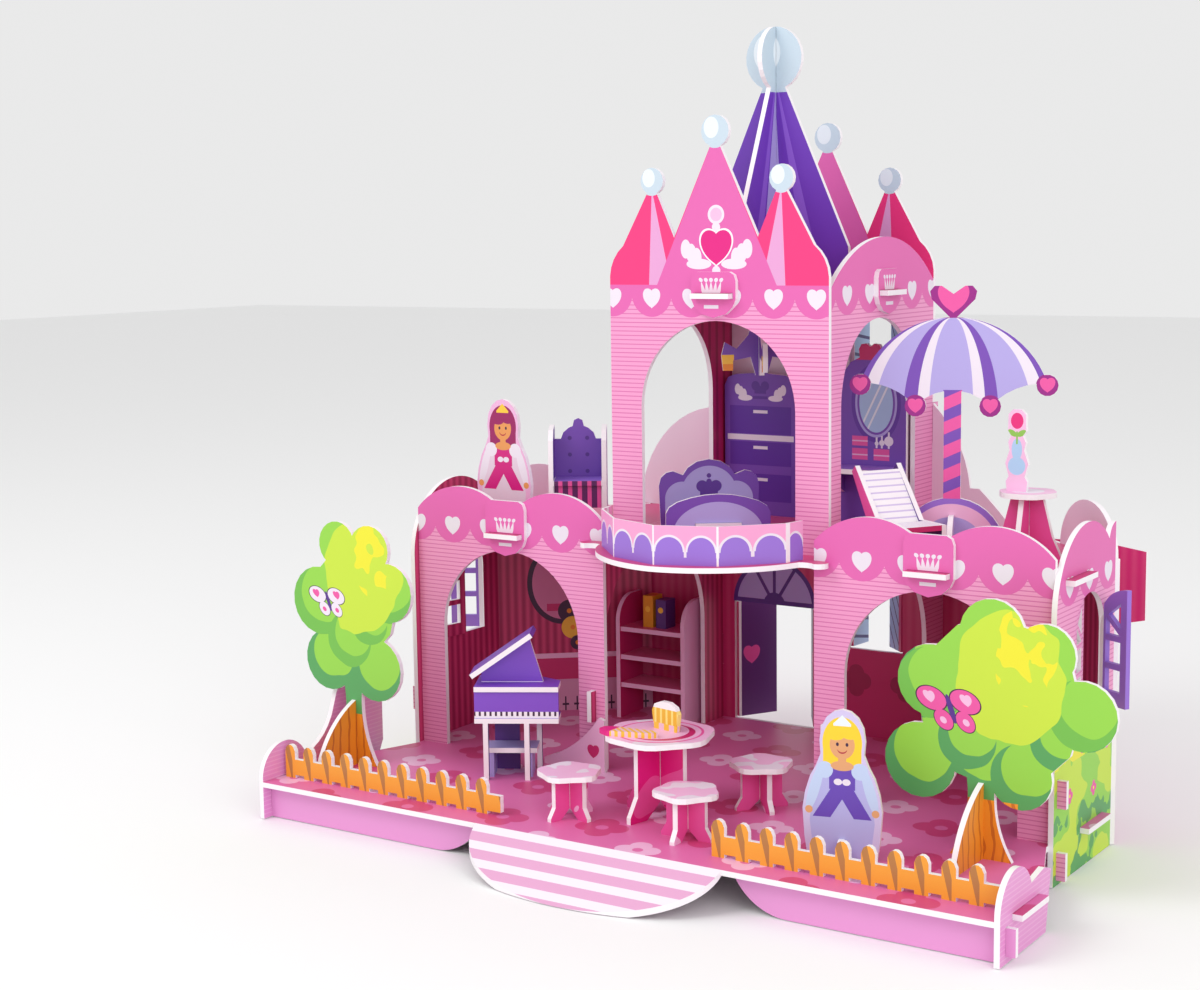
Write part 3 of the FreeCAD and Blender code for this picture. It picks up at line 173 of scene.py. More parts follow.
class Sheet:
    """One printed sheet: a material whose colours are worked out from the place on the board.

    The spot is the X, Y and level that the sheet's zero stands on; the turn, in degrees to the left,
    lays its X along a turned board.
    """

    def __init__(self, name, spot=(0.0, 0.0, 0.0), turn=0.0):
        self.material = bpy.data.materials.new(name)
        self.material.use_nodes = True
        self.tree = self.material.node_tree
        self.shader = self.tree.nodes["Principled BSDF"]
        self.shader.inputs["Roughness"].default_value = ROUGHNESS
        self.cos = math.cos(math.radians(turn))
        self.sin = math.sin(math.radians(turn))
        place = self.tree.nodes.new("ShaderNodeTexCoord")
        parts = self.tree.nodes.new("ShaderNodeSeparateXYZ")
        self.tree.links.new(place.outputs["Object"], parts.inputs[0])
        axes = [Value(self, parts.outputs[axis]) for axis in range(3)]
        x = (axes[0] - (X0 + spot[0] * MM)) * 1000.0
        y = (axes[1] - (Y0 + spot[1] * MM)) * 1000.0
        self.x, self.y = self.turned(x, y)
        self.z = axes[2] * 1000.0 - spot[2]
        facing = self.tree.nodes.new("ShaderNodeNewGeometry")
        face = self.tree.nodes.new("ShaderNodeSeparateXYZ")
        turning = self.tree.nodes.new("ShaderNodeVectorTransform")
        turning.vector_type = "NORMAL"
        turning.convert_from = "WORLD"
        turning.convert_to = "OBJECT"
        self.tree.links.new(facing.outputs["True Normal"], turning.inputs[0])
        self.tree.links.new(turning.outputs[0], face.inputs[0])
        normals = [Value(self, face.outputs[axis]) for axis in range(3)]
        self.normals = [*self.turned(normals[0], normals[1]), normals[2]]

    def turned(self, x, y):
        if self.sin == 0.0:
            return x, y
        return x * self.cos + y * self.sin, y * self.cos - x * self.sin

    def _plug(self, socket, value):
        if isinstance(value, Value):
            self.tree.links.new(value.source, socket)
        elif isinstance(value, (int, float, tuple)):
            socket.default_value = value
        else:
            self.tree.links.new(value, socket)

    def math(self, operation, *values):
        node = self.tree.nodes.new("ShaderNodeMath")
        node.operation = operation
        for socket, value in zip(node.inputs, values):
            self._plug(socket, value)
        return Value(self, node.outputs[0])

    def mix(self, under, over, mask):
        """The second colour where the mask is 1, the first one elsewhere."""
        node = self.tree.nodes.new("ShaderNodeMix")
        node.data_type = "RGBA"
        self._plug(node.inputs[0], mask)
        self._plug(node.inputs[6], under)
        self._plug(node.inputs[7], over)
        return node.outputs[2]

    def normal(self, axis):
        return self.normals[axis]

    def noise(self, scale, detail=2.0):
        node = self.tree.nodes.new("ShaderNodeTexNoise")
        node.inputs["Scale"].default_value = scale
        node.inputs["Detail"].default_value = detail
        place = self.tree.nodes.new("ShaderNodeTexCoord")
        self.tree.links.new(place.outputs["Object"], node.inputs["Vector"])
        return Value(self, node.outputs["Fac"])

    def between(self, value, low, high):
        return (value > low).both(value < high)

    def heart(self, u, v, half):
        """1 inside a heart that is two halves wide and stands about the point u = v = 0."""
        a = u / half
        b = v / half + 0.1
        body = a * a + b * b - 1.0 + 0.15
        return (body * body * body - a * a * b * b * b) < 0.0

    def ring(self, u, v, radius):
        return (u * u + v * v) < radius * radius

    def oval(self, u, v, wide, high):
        return self.ring(u / wide, v / high, 1.0)

    def block(self, u, u0, u1, v, v0, v1):
        return self.between(u, u0, u1).both(self.between(v, v0, v1))

    def fold(self, value, pitch, start):
        """The place within a repeat, from the middle of the repeat that holds the start."""
        return (value - (start - pitch / 2)) % pitch - pitch / 2

    def crown(self, u, v, half):
        """A low crown: a bar, five spread points and a ball on each; v runs up from the bar."""
        spread = u / (v * (0.34 / half) + 0.72)
        pitch = half * 0.4
        across = self.fold(spread, pitch, 0.0)
        inside = spread.size() < half
        points = inside.both(v > 0.0).both(v < half * 0.9 - across.size() * 3.4)
        balls = inside.both(self.ring(across, v - half * 0.98, half * 0.15))
        return points.either(balls).either(inside.both(self.between(v, 0.0, half * 0.26)))

    def wings(self, u, v, reach, size):
        """A feathered wing on each side of u = 0."""
        out = u.size() - reach
        shape = self.oval(out, v + size * 0.2, size * 0.55, size * 0.2)
        for step in (0.0, 1.0, 2.0):
            along = out - size * (0.1 + step * 0.24)
            above = v - size * (0.05 + step * 0.16)
            shape = shape.either(self.oval(along, above, size * 0.22, size * 0.36))
        return shape

    def paint(self, front, back, axis, edge=EDGE):
        """Front colour on faces that look along the axis, back colour behind, white on cut edges."""
        way = self.normal(axis)
        both = front if front is back else self.mix(back, front, way > 0.0)
        return self.plain(self.mix(edge, both, way.size() > SQUARELY))

    def crossing(self, tone):
        """Two upright boards that cross at the zero: the tone on their faces, white on cut edges."""
        cut = (self.y.size() < HALF_BOARD).both(self.normal(1).size() < SQUARELY)
        cut = cut.either((self.x.size() < HALF_BOARD).both(self.normal(0).size() < SQUARELY))
        return self.plain(self.mix(tone, EDGE, cut))

    def plain(self, tone):
        self._plug(self.shader.inputs["Base Color"], tone)
        return self.material


def cover(node, material):
    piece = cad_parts[node]
    piece.data.materials.clear()
    piece.data.materials.append(material)


def bricks(sheet, height):
    return sheet.mix(BRICK, BRICK_LINE, (height % BRICK_PITCH) < 0.62)


def banded(sheet, along, pitch, start, peak, low, heart_middle):
    """Brick lines under a band with a scalloped lower edge and a heart in each scallop."""
    half = pitch / 2
    depth = peak - low
    radius = (half * half + depth * depth) / (2 * depth)
    across = sheet.fold(along, pitch, start)
    below = sheet.z - (low + radius)
    in_scallop = sheet.ring(across, below, radius).either(sheet.z > peak + 0.01)
    tone = sheet.mix(bricks(sheet, sheet.z), BAND, in_scallop)
    return sheet.mix(tone, PALE, sheet.heart(across, sheet.z - heart_middle, 5.6))


def drapes(sheet, along, pitch, light, dark):
    """Hanging cloth: soft upright folds."""
    wave = sheet.math("SINE", along * (2 * math.pi / pitch)) * 0.5 + 0.5
    return sheet.mix(dark, light, wave)


def ball(sheet, tone, u, v, radius):
    """A silver ball with a soft light on its upper left."""
    tone = sheet.mix(tone, SILVER, sheet.ring(u, v, radius))
    shine = sheet.oval(u + radius * 0.25, v - radius * 0.2, radius * 0.5, radius * 0.62)
    return sheet.mix(tone, SILVER_LIGHT, shine)


def gable(sheet, tone):
    """Two striped spires beside a tall middle one, over the tower's wall."""
    for side in (-1, 1):
        u = sheet.x - side * 42.4
        share = u * side / (368.0 - sheet.z) * 55.0
        stripes = sheet.mix(AWNING, AWNING_PALE, sheet.between(share, -12.5, 2.5))
        half = (sheet.x * side > 0.0).both(sheet.z > GABLE_FOOT)
        tone = ball(sheet, sheet.mix(tone, stripes, half), u, sheet.z - 372.6, 8.4)
    middle = (sheet.x.size() / (398.0 - sheet.z) < 0.464).both(sheet.z > GABLE_FOOT)
    tone = sheet.mix(tone, BAND, middle)
    return ball(sheet, tone, sheet.x, sheet.z - 399.7, 9.6)


# Tower front
sheet = Sheet("tower_front_print")
tone = gable(sheet, banded(sheet, sheet.x, 26.9, -43.3, 305.3, 294.4, 305.0))
u = sheet.x - 0.4
tone = sheet.mix(tone, PALE, sheet.ring(u, sheet.z - 352.9, 5.4))
tone = sheet.mix(tone, BLUSH, sheet.ring(u, sheet.z - 352.9, 3.8))
tone = sheet.mix(tone, PALE, sheet.ring(u, sheet.z - 345.8, 2.7))
tone = sheet.mix(tone, PALE, sheet.ring(u, sheet.z - 321.2, 2.7))
tone = sheet.mix(tone, PALE, sheet.wings(u, sheet.z - 328.0, 11.5, 15.0))
tone = sheet.mix(tone, EDGE, sheet.heart(u, sheet.z - 334.0, 10.6))
tone = sheet.mix(tone, HOT_PINK, sheet.heart(u, sheet.z - 334.0, 9.6))
cover("tower_front_wall", sheet.paint(MAGENTA, tone, 1))

# Tower sides
for side in (-1, 1):
    sheet = Sheet("tower_side_print_" + ("left" if side < 0 else "right"))
    outside = banded(sheet, sheet.y, 28.4, 22.3, 305.0, 296.0, 306.5)
    inside = sheet.mix(MAGENTA, MAGENTA_DARK, sheet.between(sheet.y % 9.0, 0.0, 3.0))
    pair = (outside, inside) if side > 0 else (inside, outside)
    cover("tower_side_" + ("left" if side < 0 else "right"), sheet.paint(*pair, 0))

# Wing fronts
for side, start in ((-1, -182.7), (1, 99.5)):
    name = "left" if side < 0 else "right"
    sheet = Sheet("wing_front_print_" + name)
    outside = banded(sheet, sheet.x, 27.3, start, 162.2, 152.7, 163.3)
    cover("wing_front_" + name, sheet.paint(MAGENTA, outside, 1))


def meadow(sheet, tone, along):
    """Grass and small flowers along the foot of a wall."""
    grass = sheet.mix(LEAF_LIGHT, LEAF, sheet.noise(30.0) > 0.5)
    near = sheet.z < 34.0 + sheet.math("SINE", along * 0.33) * 4.0
    grass = sheet.mix(grass, LEAF_DARK, near.both(sheet.noise(60.0) > 0.52))
    grass = sheet.mix(grass, LEAF_YELLOW, (sheet.z > 62.0).both(sheet.noise(40.0) > 0.45))
    for place, height in ((0.0, 78.0), (21.0, 68.0), (4.0, 44.0), (40.0, 40.0), (60.0, 62.0)):
        du = along - place
        dv = sheet.z - height
        petals = sheet.ring(du.size() - 2.4, dv, 2.0).either(sheet.ring(du, dv.size() - 2.4, 2.0))
        grass = sheet.mix(grass, ROSE, petals)
        grass = sheet.mix(grass, LEAF_YELLOW, sheet.ring(du, dv, 1.0))
    top = 84.0 + sheet.math("SINE", along * 0.12) * 3.0
    return sheet.mix(tone, grass, sheet.z < top)


# Side walls, with a garden printed below; the shutters are folded from the same board
for side in (-1, 1):
    name = "left" if side < 0 else "right"
    sheet = Sheet("wing_side_print_" + name)
    outside = meadow(sheet, banded(sheet, sheet.y, 29.0, -1.0, 157.0, 147.5, 157.0), sheet.y)
    inside = drapes(sheet, sheet.y, 6.2, CURTAIN, MAGENTA_DARK)
    leaf = (sheet.x * side > 213.05).both(sheet.block(sheet.y, -20.0, 76.0, sheet.z, 84.0, 151.0))
    outside = sheet.mix(outside, VIOLET, leaf)
    inside = sheet.mix(inside, VIOLET, leaf)
    pair = (outside, inside) if side > 0 else (inside, outside)
    cover("wing_side_" + name, sheet.paint(*pair, 0, sheet.mix(EDGE, VIOLET, leaf)))
    sheet = Sheet("inner_wall_print_" + name)
    hall = drapes(sheet, sheet.y, 6.0, CURTAIN, MAGENTA_DARK)
    pair = (bricks(sheet, sheet.z), hall) if side > 0 else (hall, bricks(sheet, sheet.z))
    cover("inner_wall_" + name, sheet.paint(*pair, 0))

# Slanting corner walls: curtains over a printed side table; the left one has a round portrait
CORNER = (128.0, 138.0, 213.0, 68.0)
corner_turn = math.degrees(math.atan2(CORNER[1] - CORNER[3], CORNER[2] - CORNER[0]))
for side in (-1, 1):
    name = "left" if side < 0 else "right"
    sheet = Sheet("corner_wall_print_" + name, (side * CORNER[2], CORNER[3], 0.0), -side * corner_turn)
    along = sheet.x * -side
    tone = drapes(sheet, along, 5.2, CURTAIN, MAGENTA_DARK)
    tone = sheet.mix(tone, BLUSH, sheet.z < 62.0)
    tone = sheet.mix(tone, MAGENTA, sheet.z < 58.6)
    tone = sheet.mix(tone, colour(214, 150, 186), sheet.z < 44.0)
    stand = sheet.fold(along, 7.8, 46.7)
    tone = sheet.mix(tone, INK, (stand.size() < 0.5).both(sheet.z < 32.0))
    tone = sheet.mix(tone, INK, (stand.size() < 2.2).both(sheet.between(sheet.z, 26.0, 27.4)))
    if side < 0:
        u, v = along - 46.0, sheet.z - 110.0
        tone = sheet.mix(tone, INK, sheet.oval(u, v, 24.0, 28.0))
        tone = sheet.mix(tone, colour(212, 124, 166), sheet.oval(u, v, 20.6, 24.6))
        tone = sheet.mix(tone, MAGENTA, sheet.block(u, -11.0, 4.0, v, -19.0, -14.0))
        tone = sheet.mix(tone, INK, sheet.crown(u, v - 4.0, 9.0))
        records = ((50.0, 90.8, 7.6, INK), (52.3, 79.5, 7.6, GOLD), (55.5, 69.0, 5.0, INK))
        for u1, v1, radius, disc in records:
            tone = sheet.mix(tone, disc, sheet.ring(along - u1, sheet.z - v1, radius))
            tone = sheet.mix(tone, ORANGE, sheet.ring(along - u1, sheet.z - v1, 1.6))
    outside = bricks(sheet, sheet.z)
    tone = sheet.mix(tone, BACK, sheet.z > TERRACE)
    outside = sheet.mix(outside, BAND, sheet.z > 154.0)
    cover("corner_wall_" + name, sheet.paint(outside, tone, 1))

# Rear wall: curtains inside, a fanlight over the door, folded leaves outside
sheet = Sheet("rear_wall_print")
wall = drapes(sheet, sheet.x, 6.2, CURTAIN, MAGENTA)
wall = sheet.mix(wall, MAGENTA, (sheet.z < 78.0).both(sheet.x > -6.0))
petals = sheet.fold(sheet.x, 34.0, 21.0)
heights = sheet.z - 58.0
bloom = sheet.ring(petals.size() - 5.0, heights, 5.4).either(sheet.ring(petals, heights.size() - 5.0, 5.4))
wall = sheet.mix(wall, MAGENTA_DARK, bloom.both(sheet.x > 4.0))
u, v = sheet.x - DOOR_MIDDLE, sheet.z - DOOR_TOP
fan = sheet.ring(u, v, 30.4).both(v > 0.0)
panes = sheet.ring(u, v, 27.5).both(v > 3.0)
spokes = ((u + v * 0.62).size() < 1.3).either((u - v * 0.62).size() < 1.3).either(u.size() < 1.1)
wall = sheet.mix(wall, PURPLE_DARK, fan)
wall = sheet.mix(wall, LILAC, panes)
wall = sheet.mix(wall, PURPLE_DARK, panes.both(spokes.either(sheet.ring(u, v, 8.0))))
wall = sheet.mix(wall, BACK, sheet.z > TERRACE)
leaf = sheet.mix(GLASS, colour(70, 60, 120), ((sheet.z + sheet.x * 2.0) % 12.0) < 2.0)
on_door = (sheet.z < DOOR_TOP + 1.0).both(sheet.x < 8.0)
leaf = sheet.mix(leaf, colour(96, 42, 116), on_door)
heart_u = ((sheet.x - DOOR_MIDDLE).size() - 22.6) * 2.0
leaf = sheet.mix(leaf, ROSE, sheet.heart(heart_u, sheet.z - 64.0, 6.0).both(on_door))
outside = gable(sheet, banded(sheet, sheet.x, 26.9, -43.3, 305.3, 294.4, 305.0))
on_leaf = (sheet.y > REAR_FACE_Y).both(sheet.z < 300.0)
outside = sheet.mix(outside, leaf, on_leaf)
inside = sheet.mix(gable(sheet, wall), leaf, on_leaf)
folded = on_leaf.both(sheet.normal(2).size() < SQUARELY)
cover("rear_wall", sheet.paint(outside, inside, 1, sheet.mix(EDGE, leaf, folded)))

# Level boards
sheet = Sheet("floor_print")
tone = FLOOR_PINK
for start_x, start_y, petal, print_tone in ((20.0, -48.0, 8.5, FLOOR_PETAL), (-11.0, -17.0, 7.0, BLUSH)):
    u = sheet.fold(sheet.x + sheet.y * 0.3, 62.0, start_x)
    v = sheet.fold(sheet.y - sheet.x * 0.2, 62.0, start_y)
    reach = petal * 0.92
    flower = sheet.ring(u.size() - petal, v, reach).either(sheet.ring(u, v.size() - petal, reach))
    tone = sheet.mix(tone, print_tone, flower)
    tone = sheet.mix(tone, FLOOR_PINK, sheet.ring(u, v, petal * 0.45))
ramp = sheet.mix(RAMP_PALE, RAMP_PINK, ((sheet.y - GARDEN_FRONT_Y) % 10.0) < 5.4)
tone = sheet.mix(tone, ramp, sheet.y < GARDEN_FRONT_Y)
cover("floor_plate", sheet.paint(tone, BACK, 2))
sheet = Sheet("level_print")
level = sheet.paint(colour(208, 70, 128), BRICK, 2)
for node in ("balcony_plate", "terrace_plate_left", "terrace_plate_right", "tower_ceiling"):
    cover(node, level)

# Balcony rail: two white-rimmed scallops on each panel, white fold lines
sheet = Sheet("rail_print")
out = sheet.x.size()
rise = sheet.z - TERRACE
slant = out > 34.0
side = out > 61.6
across = sheet.fold(out, 17.0, 8.5)
across = across + (sheet.fold(out, 13.8, 40.9) - across) * slant
across = across + (sheet.fold(sheet.y, 15.0, -22.0) - across) * side
half = 8.5 - slant * 1.6 + side * 0.6
foot = rise < 7.5
arc = sheet.ring(across / half, (rise - 7.5) / 9.6, 0.99).either(foot)
fill = sheet.ring(across / (half - 1.2), (rise - 7.5) / 8.2, 1.0).either(foot)
fill = fill.both(across.size() < half - 0.7)
tone = sheet.mix(colour(240, 160, 205), PALE, arc)
tone = sheet.mix(tone, VIOLET, fill.either(rise < 4.5))
folds = (out < 0.5).either((out - 34.0).size() < 0.5).either((out - 61.3).size() < 0.4)
tone = sheet.mix(tone, EDGE, folds.either(sheet.normal(2).size() > 0.6))
cover("balcony_railing", sheet.plain(tone))

# Roof boards
for node, along in (("roof_board_wide", 0), ("roof_board_deep", 1)):
    sheet = Sheet(node + "_print")
    u = sheet.x if along == 0 else TOWER_MIDDLE_Y - sheet.y
    spot = u / (438.0 - sheet.z) * 50.0
    tone = sheet.mix(colour(110, 56, 182), colour(140, 92, 206), sheet.between(spot.size(), 9.0, 13.0))
    stripe = sheet.between(spot, 1.5, 8.0) if along else sheet.between(spot, -5.5, 0.0)
    tone = sheet.mix(tone, LILAC, stripe)
    tone = sheet.mix(tone, LILAC, sheet.between(spot, 0.0, 3.0))
    tone = ball(sheet, sheet.mix(tone, SILVER, sheet.z > 424.0), u, sheet.z - 443.7, 17.8)
    cover(node, sheet.paint(tone, tone, 1 - along))

# Keystone clips with a crown over the bar, skirts, garden ends
KEYSTONES = [("keystone_tower_front", 1, -1.4, CEILING_TAB),
             ("keystones_wings", 1, 140.0, TERRACE_TAB),
             ("keystones_tower_sides", 0, TOWER_MIDDLE_Y, CEILING_TAB)]
for node, axis, middle, level in KEYSTONES:
    sheet = Sheet(node + "_print")
    along = sheet.y - middle if axis == 0 else sheet.x.size() - middle
    if node == "keystone_tower_front":
        along = sheet.x - middle
    tone = sheet.mix(BAND, PALE, sheet.crown(along, sheet.z - level, 8.0))
    tone = sheet.mix(tone, PALE, sheet.block(along, -4.8, 4.8, sheet.z, level - 8.4, level - 6.4))
    cover(node, sheet.paint(tone, tone, axis))
for node, axis in (("front_skirt_left", 1), ("front_skirt_right", 1), ("garden_end_left", 0),
                   ("garden_end_right", 0)):
    sheet = Sheet(node + "_print")
    lined = sheet.mix(SKIRT, colour(232, 172, 214), (sheet.z % BRICK_PITCH) < 0.6)
    tone = lined if axis == 0 else SKIRT
    cover(node, sheet.paint(tone, tone, axis))


def butterfly(sheet, tone, u, v, size, wing_tone, spots):
    """Two pairs of wings with spots on a slim body."""
    lean = u + v * 0.35
    for reach, wing in ((size, INK), (size * 0.92, wing_tone)):
        upper = sheet.oval(lean.size() - size * 0.62, v - size * 0.3, reach * 0.58, reach * 0.44)
        lower = sheet.oval(lean.size() - size * 0.4, v + size * 0.4, reach * 0.36, reach * 0.38)
        tone = sheet.mix(tone, wing, upper.either(lower))
    tone = sheet.mix(tone, spots, sheet.heart(lean.size() - size * 0.68, v - size * 0.34, size * 0.2))
    tone = sheet.mix(tone, spots, sheet.ring(lean.size() - size * 0.42, v + size * 0.42, size * 0.12))
    return sheet.mix(tone, PURPLE_DARK, sheet.oval(lean, v, size * 0.11, size * 0.5))


# Trees: overlapping leaf clumps, light at the top and dark below, and a butterfly
CLUMPS_RIGHT = [(-35.0, 72.0, 20.0), (22.0, 68.0, 17.0), (-28.0, 112.0, 19.0), (-8.0, 84.0, 16.0),
                (40.0, 88.0, 14.0), (53.0, 104.0, 18.0)]
CLUMPS_LEFT = [(-18.0, 86.0, 19.0), (18.0, 83.0, 19.0), (-25.0, 122.0, 21.0), (-2.0, 100.0, 17.0),
               (14.0, 112.0, 14.0), (29.0, 131.0, 18.0)]
for name, clumps, shine, trunk_x in (("right", CLUMPS_RIGHT, (14.0, 118.0), 188.0),
                                     ("left", CLUMPS_LEFT, (8.0, 140.0), -211.0)):
    sheet = Sheet("tree_print_" + name, (trunk_x, 0.0, 0.0))
    ragged = sheet.noise(48.0, 1.5) * 16.0 - 8.0
    glow = sheet.oval(sheet.x - shine[0] + ragged, sheet.z - shine[1] + ragged * 0.8, 30.0, 34.0)
    lit = sheet.oval(sheet.x - shine[0], sheet.z - shine[1] - ragged, 52.0, 54.0)
    tone = sheet.mix(LEAF_DARK, LEAF, lit)
    for u, v, radius in clumps:
        lump = sheet.ring(sheet.x - u, sheet.z - v + ragged * 0.25, radius)
        light = sheet.ring(sheet.x - u - 3.0, sheet.z - v - 4.5 + ragged * 0.4, radius * 0.84)
        tone = sheet.mix(tone, LEAF_DARK if v < 90.0 else colour(112, 184, 72), lump)
        tone = sheet.mix(tone, LEAF, light)
    tone = sheet.mix(tone, LEAF_LIGHT, glow)
    bright = sheet.oval(sheet.x - shine[0] - 9.0 - ragged, sheet.z - shine[1] - 12.0, 15.0, 25.0)
    tone = sheet.mix(tone, LEAF_YELLOW, bright.both(sheet.noise(70.0, 1.0) > 0.5))
    bark = sheet.mix(TRUNK, TRUNK_DARK, (sheet.x + sheet.noise(40.0) * 14.0) % 6.0 < 1.6)
    tone = sheet.mix(tone, bark, (sheet.z < 54.0).both(sheet.x.size() < 20.0))
    if name == "right":
        tone = butterfly(sheet, tone, sheet.x + 17.0, sheet.z - 99.0, 15.0, ROSE, BLUSH)
    else:
        tone = butterfly(sheet, tone, sheet.x + 18.0, sheet.z - 122.0, 12.0, PALE, ROSE)
    cover("tree_" + name, sheet.paint(tone, tone, 1))
    sheet = Sheet("fence_print_" + name)
    first_picket = (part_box("fence_" + name)[0].x - X0) / MM + 3.8
    across = sheet.fold(sheet.x, 14.3, first_picket)
    shaded = (across + (sheet.z - 32.0) * 0.25).size() < 1.9
    tone = sheet.mix(FENCE, FENCE_DARK, shaded.both(across.size() < 3.9).both(across < 1.6))
    cover("fence_" + name, sheet.paint(tone, tone, 1))
sheet = Sheet("brace_print")
bark = sheet.mix(TRUNK, TRUNK_DARK, (sheet.y + sheet.noise(40.0) * 10.0) % 7.0 < 1.5)
cover("tree_braces", sheet.paint(bark, bark, 0))

# Umbrella
sheet = Sheet("umbrella_print", middle_of("umbrella"), UMBRELLA_TURN)
u, v = sheet.x, sheet.z
span = (55.04 * 55.04 - (v - 76.96) * (v - 76.96)).root()
share = u / span
tone = sheet.mix(LILAC, PALE, sheet.between(share.size(), 0.79, 0.93))
tone = sheet.mix(tone, PALE, sheet.between(share, -0.36, -0.24).either(sheet.between(share, 0.21, 0.33)))
tone = sheet.mix(tone, PURPLE, sheet.between(share, -0.5, -0.36).either(sheet.between(share, 0.33, 0.46)))
tone = sheet.mix(tone, PURPLE, share.size() > 0.93)
foot = v < 33.0
tone = sheet.mix(tone, VIOLET, foot)
tone = sheet.mix(tone, BLUSH, foot.both(sheet.ring(u, v, 26.5)))
tone = sheet.mix(tone, LILAC, foot.both(sheet.ring(u, v, 19.0)))
pole = (u.size() < 5.2).both(sheet.between(v, 29.5, 91.2))
tone = sheet.mix(tone, sheet.mix(PURPLE, ROSE, (v - u * 0.45) % 13.6 < 7.2), pole)
tone = sheet.mix(tone, PLUM, v > 131.6)
tone = sheet.mix(tone, ROSE, sheet.heart(u, v - 142.6, 8.2))
for tip_u, tip_v in ((-52.0, 94.0), (52.0, 94.0), (-20.8, 82.0), (20.8, 82.0)):
    tone = sheet.mix(tone, PLUM, sheet.ring(u - tip_u, v - tip_v, 6.3))
    tone = sheet.mix(tone, ROSE, sheet.heart(u - tip_u, v - tip_v, 4.0))
cover("umbrella", sheet.paint(tone, tone, 1))

# Lounge chair
sheet = Sheet("lounge_side_print_and_painted_shade", LOUNGE, LOUNGE_TURN)
# Rose print on the outer faces; the inner faces get dark purple as painted shade on the pink board
tone = sheet.mix(ROSE, PURPLE_DARK, (sheet.normal(0) * sheet.x) < 0.0)
cover("lounge_sides", sheet.paint(tone, tone, 0))
sheet = Sheet("lounge_slat_print", LOUNGE, LOUNGE_TURN)
tone = sheet.mix(EDGE, LILAC_PALE, ((sheet.z - 18.0) % 3.3) < 0.8)
tone = sheet.mix(tone, LILAC_PALE, (sheet.z < 20.5).both((sheet.y % 3.0) < 0.7))
under = (sheet.normal(2) < -0.3).either(sheet.normal(1) < -0.95)
cover("lounge_slats", sheet.plain(sheet.mix(tone, MAGENTA, under)))

# Table with the rose
sheet = Sheet("vase_table_print", middle_of("vase_table_top"))
cover("vase_table_top", sheet.paint(sheet.mix(BLUSH, PALE, sheet.ring(sheet.x, sheet.y, 9.0)), ROSE, 2))
sheet = Sheet("vase_table_leg_print", middle_of("vase_table_legs"))
cover("vase_table_legs", sheet.crossing(sheet.mix(ROSE, BLUSH, sheet.noise(30.0) > 0.6)))
sheet = Sheet("rose_vase_print", middle_of("rose_vase"))
u, v = sheet.x, sheet.z
tone = sheet.mix(BLUSH, GLASS, sheet.ring(u, v - 14.0, 5.0).either(sheet.oval(u, v - 23.0, 3.0, 6.0)))
leaves = sheet.oval(u.size() - 2.6, v - 31.0 - u.size() * 0.4, 2.6, 1.7)
tone = sheet.mix(tone, colour(140, 190, 80), leaves.either(sheet.block(u, -0.5, 0.5, v, 26.0, 33.0)))
tone = sheet.mix(tone, colour(226, 36, 120), sheet.oval(u, v - 38.8, 3.6, 4.4))
cover("rose_vase", sheet.paint(tone, tone, 1))

# Terrace chair
sheet = Sheet("terrace_chair_print", middle_of("terrace_chair_back"), CHAIR_TURN)
tufts = sheet.ring(sheet.x.size() - 5.5, sheet.fold(sheet.z, 10.5, 14.0), 1.3).both(sheet.z < 28.0)
tone = sheet.mix(PURPLE, PURPLE_DARK, tufts)
cover("terrace_chair_back", sheet.paint(tone, tone, 1))
sheet = Sheet("terrace_chair_frame_print", middle_of("terrace_chair_frame"), CHAIR_TURN)
stripes = sheet.mix(colour(92, 34, 96), ROSE, (sheet.x % 6.0) < 2.6)
sides = sheet.mix(PURPLE, LILAC_PALE, (sheet.normal(0) * sheet.x) > 0.0)
tone = sheet.mix(sides, stripes, (sheet.normal(1) < -0.6).both(sheet.x.size() < 15.0))
tone = sheet.mix(tone, EDGE, (sheet.x.size() > 14.6).both(sheet.normal(0).size() < 0.5))
tone = sheet.mix(tone, VIOLET, (sheet.normal(2) > 0.8).both(sheet.x.size() < 14.6))
cover("terrace_chair_frame", sheet.plain(tone))

# Bed
sheet = Sheet("bed_headboard_print", middle_of("bed_headboard"), BED_TURN)
u, v = sheet.x, sheet.z
panel = sheet.oval(u, v - 22.0, 17.0, 17.0).either(sheet.ring(u.size() - 16.5, v - 19.0, 10.5))
panel = panel.either((u.size() < 27.0).both(v < 19.0))
tone = sheet.mix(PURPLE, LILAC, panel)
royal = sheet.ring(u.size() - 4.2, v - 26.5, 3.6).either(sheet.block(u, -5.5, 5.5, v, 20.4, 26.0))
royal = royal.either(sheet.oval(u, v - 28.5, 1.8, 2.6)).either(sheet.ring(u, v - 33.0, 1.4))
tone = sheet.mix(tone, colour(92, 48, 150), royal.either(sheet.block(u, -6.4, 6.4, v, 17.4, 19.0)))
cover("bed_headboard", sheet.paint(PURPLE, tone, 1))
sheet = Sheet("bed_footboard_print", middle_of("bed_footboard"), BED_TURN)
tone = sheet.mix(PURPLE, LILAC, sheet.oval(sheet.x, sheet.z - 6.0, 26.5, 18.5))
cover("bed_footboard", sheet.paint(PURPLE, tone, 1))
sheet = Sheet("bed_base_print", middle_of("bed_base"), BED_TURN)
cover("bed_base", sheet.plain(sheet.mix(PALE, LILAC_PALE, (sheet.y % 6.0) < 1.2)))

